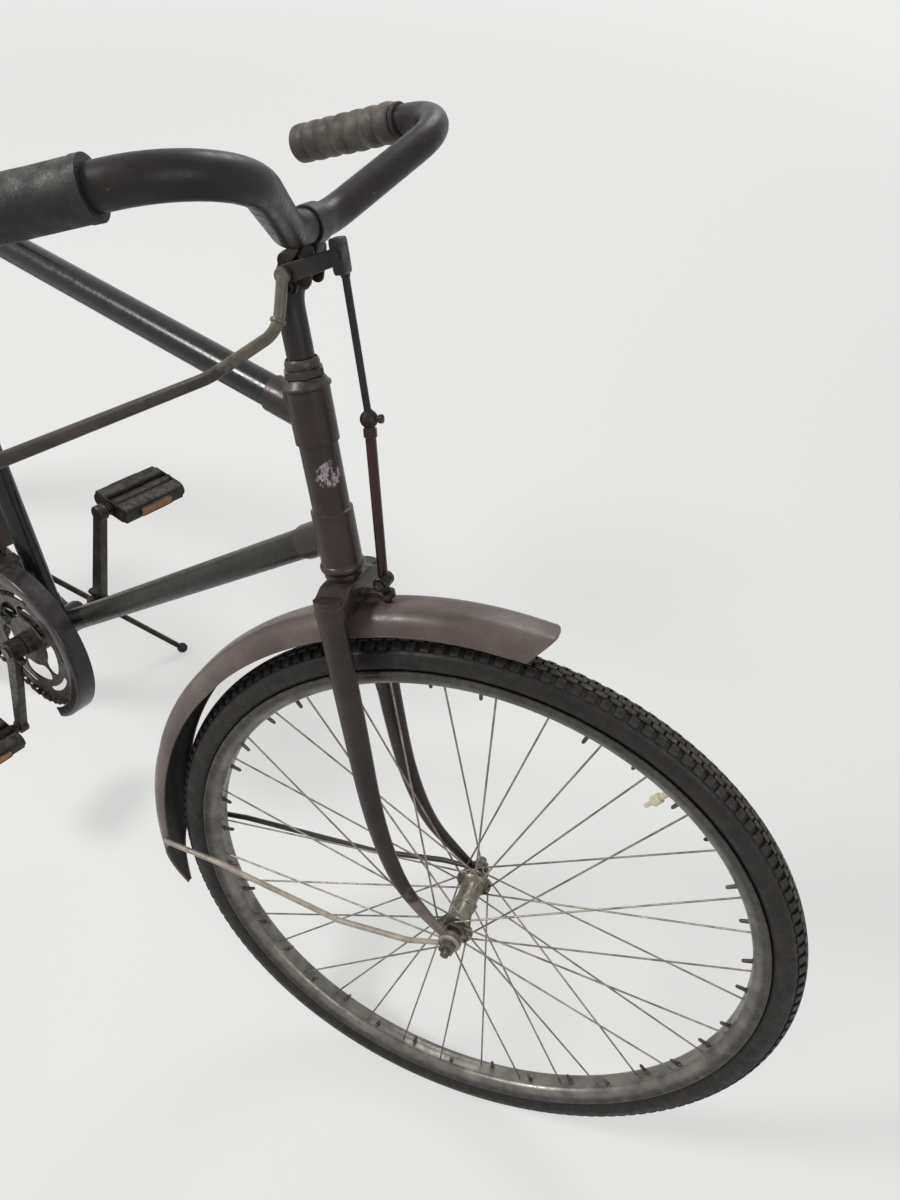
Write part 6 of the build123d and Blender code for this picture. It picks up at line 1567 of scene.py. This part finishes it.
def chain_points():
    """The chain's joints, spread evenly over the loop round the ring and the sprocket."""
    start = Vector((0.0, 0.0))
    end = Vector((REAR_AXLE.x, REAR_AXLE.z))
    run = end - start
    toward = math.atan2(run.y, run.x)
    opening = math.acos((RING_PITCH_R - SPROCKET_PITCH_R) / run.length)

    def at(centre, radius, angle):
        return centre + Vector((math.cos(angle), math.sin(angle))) * radius

    line = []
    for step in range(SPROCKET_STEPS + 1):
        angle = toward + opening - 2 * opening * step / SPROCKET_STEPS
        line.append(at(end, SPROCKET_PITCH_R, angle))
    for step in range(RING_STEPS + 1):
        angle = toward - opening - (2 * math.pi - 2 * opening) * step / RING_STEPS
        line.append(at(start, RING_PITCH_R, angle))
    line.append(line[0])
    lengths = [0.0]
    for a, b in zip(line, line[1:]):
        lengths.append(lengths[-1] + (b - a).length)
    count = 2 * round(lengths[-1] / PITCH / 2)
    made = []
    index = 0
    for link in range(count):
        want = lengths[-1] * link / count
        while lengths[index + 1] < want:
            index += 1
        share = (want - lengths[index]) / (lengths[index + 1] - lengths[index])
        made.append(line[index].lerp(line[index + 1], share))
    return made


def link_plate(start, end, low, high):
    """A plate with round ends and a narrow waist."""
    run = end - start
    across = Vector((-run.y, run.x)).normalized()
    along = run.normalized()
    outline = []
    for centre, reach, waist in ((end, LINK_END_R, -LINK_WAIST), (start, -LINK_END_R, LINK_WAIST)):
        for step in range(7):
            a = math.pi * step / 6
            outline.append(centre + across * (reach * math.cos(a)) + along * (reach * math.sin(a)))
        outline.append(start.lerp(end, 0.5) + across * waist)
    return prism([(p.x, p.y) for p in outline], low, high, 0.25)


def chain_shape():
    points = chain_points()
    shapes = []
    for index, point in enumerate(points):
        after = points[(index + 1) % len(points)]
        near = 2.2 if index % 2 else 3.3
        for side in (-1, 1):
            low, high = sorted((CHAIN_Y + side * near, CHAIN_Y + side * (near + 1.0)))
            shapes.append(link_plate(point, after, low, high))
        shapes.append(turned(both_ways(ROLLER), 12, place_at(point.x, CHAIN_Y, point.y)))
    return joined(*shapes)


piece("roller_chain", chain_shape(), BRACKET, "frame", CHAIN_STEEL, ["chain"])

# Chain guard: a pressed rim round the toothed wheel with a tail over the chain's upper run
CASE_R = 112.0
CASE_BAND = 16.0
CASE_END = -54.0
CASE_TAIL_X = -330.0
CASE_TAIL_TOP = 92.0
CASE_TAIL_LOW = 58.0
TAB_HALF_W = 7.0
TAB_HALF_H = 3.0
TAB_Z = CASE_R - 2 * TAB_HALF_H
SEAT_TUBE_BACK = 0.35837
SEAT_TUBE_UP = 0.93358
TAB_X = -SEAT_TUBE_BACK * TAB_Z / SEAT_TUBE_UP
CASE_STEPS = 96
CASE_TAIL_STEPS = 66
CASE_FALL_FROM = 10.0
CASE_SECTION = (
    # inwards from the outer edge and sideways; the inner lip's points follow the band's width
    (0.0, -30.0, 0), (0.0, -44.0, 0), (0.0, -52.4, 0), (0.3, -53.8, 0), (1.2, -55.0, 0), (2.6, -55.4, 0),
    (-1.4, -55.4, 1), (-0.4, -55.1, 1), (0.0, -54.5, 1), (-0.4, -54.0, 1), (-1.4, -53.8, 1),
    (2.8, -53.8, 0), (1.7, -53.0, 0), (1.4, -51.8, 0), (1.4, -30.0, 0),
)


def case_ring(at, inward, wide):
    """The section at a point of the outer edge, with its lip at the band's width."""
    ring = []
    for n, y, on_lip in CASE_SECTION:
        p = at + inward * (wide + n if on_lip else n)
        ring.append((p.x, y, p.y))
    return ring


def case_shape():
    """Rim round the toothed wheel, its tail, and the tab on the seat tube."""
    rings = []
    for step in range(CASE_STEPS + 1):
        a = math.radians(CASE_END + (90.0 - CASE_END) * step / CASE_STEPS)
        out = Vector((math.cos(a), math.sin(a)))
        rings.append(case_ring(out * CASE_R, -out, CASE_BAND))
    for step in range(1, CASE_TAIL_STEPS + 1):
        x = CASE_TAIL_X * step / CASE_TAIL_STEPS
        fall = max(-x - CASE_FALL_FROM, 0.0)
        top = CASE_R - (CASE_R - CASE_TAIL_TOP) * fall / (-CASE_TAIL_X - CASE_FALL_FROM)
        low = max(CASE_TAIL_LOW, math.sqrt(max((CASE_R - CASE_BAND) ** 2 - x * x, 0.0)))
        rings.append(case_ring(Vector((x, top)), Vector((0.0, -1.0)), top - low))
    tab = [(TAB_X + x, TAB_Z + z) for x, z in squircle(TAB_HALF_W, TAB_HALF_H, 24, 6.0)]
    return joined(loft(rings), prism(tab, -54.6, -17.2, 0.4))


piece("pressed_chain_guard", case_shape(), BRACKET, "frame", PLUM, ["chain_guard"])

# Saddle: a crowned, stretched cover over a wide back and a long nose, with piping round its foot
POST_HEAD = Vector((-238.1, 0.0, 620.3))
SADDLE_BACK = -105.0
SADDLE_LEN = 275.0
SADDLE_HALF = 105.0
SADDLE_FOOT = 0.22
BACK_ROUND = 0.06
NOSE_ROUND = 0.05
SADDLE_ROWS = (
    # share of the length, half width, top, foot
    (0.0, 0.50, 66.0, 40.0),
    (0.06, 0.88, 72.0, 36.0),
    (0.16, 1.0, 75.4, 34.4),
    (0.30, 0.80, 74.4, 34.4),
    (0.45, 0.46, 70.5, 34.4),
    (0.62, 0.28, 68.0, 34.4),
    (0.85, 0.225, 67.5, 34.4),
    (1.0, 0.205, 65.0, 36.5),
)
SADDLE_STEPS = 72
SADDLE_ROUND = 48


def saddle_ring(share):
    """Half width, foot and height of the cover at a share of its length, round at both ends."""
    width, top, foot = eased(SADDLE_ROWS, min(max(share, 0.0), 1.0))
    narrow = 1.0
    if share < BACK_ROUND:
        narrow = math.sqrt(max(1.0 - (1.0 - share / BACK_ROUND) ** 2, 0.0))
    if share > 1.0 - NOSE_ROUND:
        narrow = math.sqrt(max(1.0 - ((share - 1.0 + NOSE_ROUND) / NOSE_ROUND) ** 2, 0.0))
    half = SADDLE_HALF * width * max(narrow, 0.02)
    tall = (top - foot) * (0.35 + 0.65 * narrow)
    return half, foot, tall


def saddle_shape():
    rings = []
    for step in range(SADDLE_STEPS + 1):
        share = 0.5 - 0.5 * math.cos(math.pi * step / SADDLE_STEPS)
        half, foot, tall = saddle_ring(share)
        ring = []
        for index in range(SADDLE_ROUND):
            a = 2 * math.pi * index / SADDLE_ROUND
            c, s = math.cos(a), math.sin(a)
            y = half * math.copysign(abs(c) ** 0.62, c)
            if s >= 0:
                # crown: low in the middle of the wide back, full over the nose
                z = foot + tall * (SADDLE_FOOT + (1.0 - SADDLE_FOOT) * abs(s) ** 0.66)
                z -= 2.6 * math.exp(-((y / 14.0) ** 2)) * math.exp(-(((share - 0.3) / 0.28) ** 2))
            else:
                z = foot + tall * SADDLE_FOOT * (1.0 - abs(s) ** 0.8)
            y *= 1.0 - 0.05 * max(-s, 0.0) ** 0.5
            ring.append((SADDLE_BACK + SADDLE_LEN * share, y, z))
        rings.append(ring)
    return loft(rings)


def saddle_piping():
    path = []
    for sign in (1, -1):
        for step in range(49):
            share = step / 48 if sign > 0 else 1.0 - step / 48
            share = 0.004 + 0.992 * share
            half, foot, tall = saddle_ring(share)
            path.append((SADDLE_BACK + SADDLE_LEN * share, sign * max(half - 0.8, 0.2), foot + tall * 0.18))
    path.append(path[0])
    return tube(path, 1.7, 8)


SADDLE_PLACE = BRACKET @ Matrix.Translation(POST_HEAD * MM)
cover = saddle_shape()
saddle = piece("stretched_saddle", cover, SADDLE_PLACE, "frame", LEATHER, ["saddle"], sharp=70.0)
piece("saddle_piping", saddle_piping(), SADDLE_PLACE, "frame", LEATHER)


# Front mudguard stays: bent wire with a worn coat, flattened to an eye on the axle
EYE_R = 12.0
STAY_RUN = (
    # backward and upward as shares of the guard's lip radius, and outwards
    (0.029, 0.0, 53.6),
    (0.125, -0.003, 57.8),
    (0.36, 0.0, 52.3),
    (0.803, 0.1025, 36.0),
    (0.9973, 0.1274, 28.9),
)


def coated_stay(side):
    run = [(-back * GUARD_LIP_R, side * out, up * GUARD_LIP_R) for back, up, out in STAY_RUN]
    path = rounded(run, 45.0, 10)

    def thick(share):
        return 3.2 - 0.6 * max(0.0, (0.04 - share) / 0.04)

    eye = [(4.7, 0.0), (EYE_R - 0.6, 0.0), (EYE_R, 0.6), (EYE_R, 2.3), (EYE_R - 0.6, 2.9), (4.7, 2.9)]
    low = 51.05 if side > 0 else -53.95
    rivet = [(ON_AXIS, -1.6), (3.9, -1.2), (4.2, 0.0), (3.9, 1.0), (ON_AXIS, 1.6)]
    return joined(
        tube(path, thick, 14),
        moved(lathe(eye, 36, closed=True), place_at(0, low, 0)),
        turned(rivet, 20, Matrix.Translation(path[-1])),
    )


stays = joined(coated_stay(-1), coated_stay(1))
piece("coated_stays", stays, FRONT_WHEEL, "steering", STAY_STEEL, ["stays_front"])

# Lower head cup: a full round bead under the head tube, and dome rivets on the rear guard
CUP_BEAD = (
    (17.6, 0.2), (19.2, 0.4), (20.2, 1.8), (20.5, 3.6), (20.2, 5.6), (19.2, 7.2), (18.0, 8.2), (17.0, 8.4),
)
piece("lower_cup_bead", spun(CUP_BEAD, 44), HEAD, "frame", HEAD_BROWN)


RIVET = ((3.4, -0.6), (3.4, 0.2), (2.8, 1.2), (1.5, 1.8), (ON_AXIS, 2.0))
REAR_RIVETS = (
    # angle round the wheel, and side, where 0 is the crest
    (130.0, -1), (130.0, 1), (168.0, -1), (168.0, 1), (60.0, 0),
)


def rivets(spots):
    made = []
    for angle, side in spots:
        out = Vector(around(1.0, 0.0, math.radians(angle)))
        at, away = out * GUARD_CREST_R, out
        if side:
            away = Vector((0, side, 0))
            at = out * (GUARD_LIP_R + 6.0) + away * GUARD_HALF_W
        made.append(turned(RIVET, 16, between(at, at + away)))
    return joined(*made)


piece("rivets_rear", rivets(REAR_RIVETS), REAR_WHEEL, "frame", DARK_STEEL)


# Floor, lamps and world
PALE = (0.84, 0.84, 0.83, 1.0)


FLOOR_REACH = 30.0
AMBIENT = (0.86, 0.88, 0.92, 1.0)
AMBIENT_STRENGTH = 0.36


def make_floor():
    """A pale floor whose glow, for the camera, grows with distance until it meets the sky."""
    mesh = bpy.data.meshes.new("floor")
    corners = [(x * FLOOR_REACH, y * FLOOR_REACH, 0) for x, y in ((-1, -1), (1, -1), (1, 1), (-1, 1))]
    mesh.from_pydata(corners, [], [(0, 1, 2, 3)])
    floor = bpy.data.objects.new("floor", mesh)
    bpy.context.scene.collection.objects.link(floor)
    look = Look("pale_floor")
    mesh.materials.append(look.finish(srgb(232, 231, 228), 0.9))
    glow = look.node("ShaderNodeEmission")
    glow.inputs[0].default_value = PALE
    path = look.node("ShaderNodeLightPath")
    away = look.vectors("LENGTH", look.place)
    seen = look.math("MAXIMUM", path.outputs["Is Camera Ray"], path.outputs["Is Glossy Ray"])
    share = look.times(seen, look.span(away, 1.2, 5.0, 0.6, 1.0))
    mixed = look.node("ShaderNodeMixShader")
    look.link(share, mixed.inputs[0])
    look.link(look.shader.outputs[0], mixed.inputs[1])
    look.link(glow.outputs[0], mixed.inputs[2])
    look.link(mixed.outputs[0], look.tree.nodes["Material Output"].inputs[0])


LAMPS = (
    # name, place from the object's middle, size, watts
    ("key", (-2.1, -1.9, 2.8), 0.9, 105.0),
    ("side", (3.2, -0.8, 2.0), 1.6, 28.0),
    ("back", (-0.8, 3.0, 2.4), 1.6, 40.0),
)


def make_lamps():
    low, high = CAD_BOX
    middle = (low + high) / 2
    for name, offset, size, watts in LAMPS:
        lamp = bpy.data.lights.new(name, "AREA")
        lamp.shape = "DISK"
        lamp.size = size
        lamp.energy = watts
        made = bpy.data.objects.new(name, lamp)
        made.location = middle + Vector(offset)
        made.rotation_euler = (-Vector(offset)).to_track_quat("-Z", "Y").to_euler()
        bpy.context.scene.collection.objects.link(made)


def make_world():
    """A pale backdrop for what the camera sees, and a dimmer sky that lights the bicycle."""
    world = bpy.data.worlds.new("world")
    bpy.context.scene.world = world
    world.use_nodes = True
    tree = world.node_tree
    tree.nodes.clear()
    path = tree.nodes.new("ShaderNodeLightPath")

    def background(colour, strength):
        made = tree.nodes.new("ShaderNodeBackground")
        made.inputs[0].default_value = colour
        made.inputs[1].default_value = strength
        return made.outputs[0]

    def either(first, second):
        made = tree.nodes.new("ShaderNodeMath")
        made.operation = "MAXIMUM"
        tree.links.new(first, made.inputs[0])
        tree.links.new(second, made.inputs[1])
        return made.outputs[0]

    seen = either(path.outputs["Is Camera Ray"], path.outputs["Is Transmission Ray"])
    mixed = tree.nodes.new("ShaderNodeMixShader")
    tree.links.new(either(seen, path.outputs["Is Glossy Ray"]), mixed.inputs[0])
    tree.links.new(background(AMBIENT, AMBIENT_STRENGTH), mixed.inputs[1])
    tree.links.new(background(PALE, 1.0), mixed.inputs[2])
    tree.links.new(mixed.outputs[0], tree.nodes.new("ShaderNodeOutputWorld").inputs[0])


bpy.context.scene.view_settings.view_transform = "Standard"
make_camera()
make_floor()
make_lamps()
make_world()
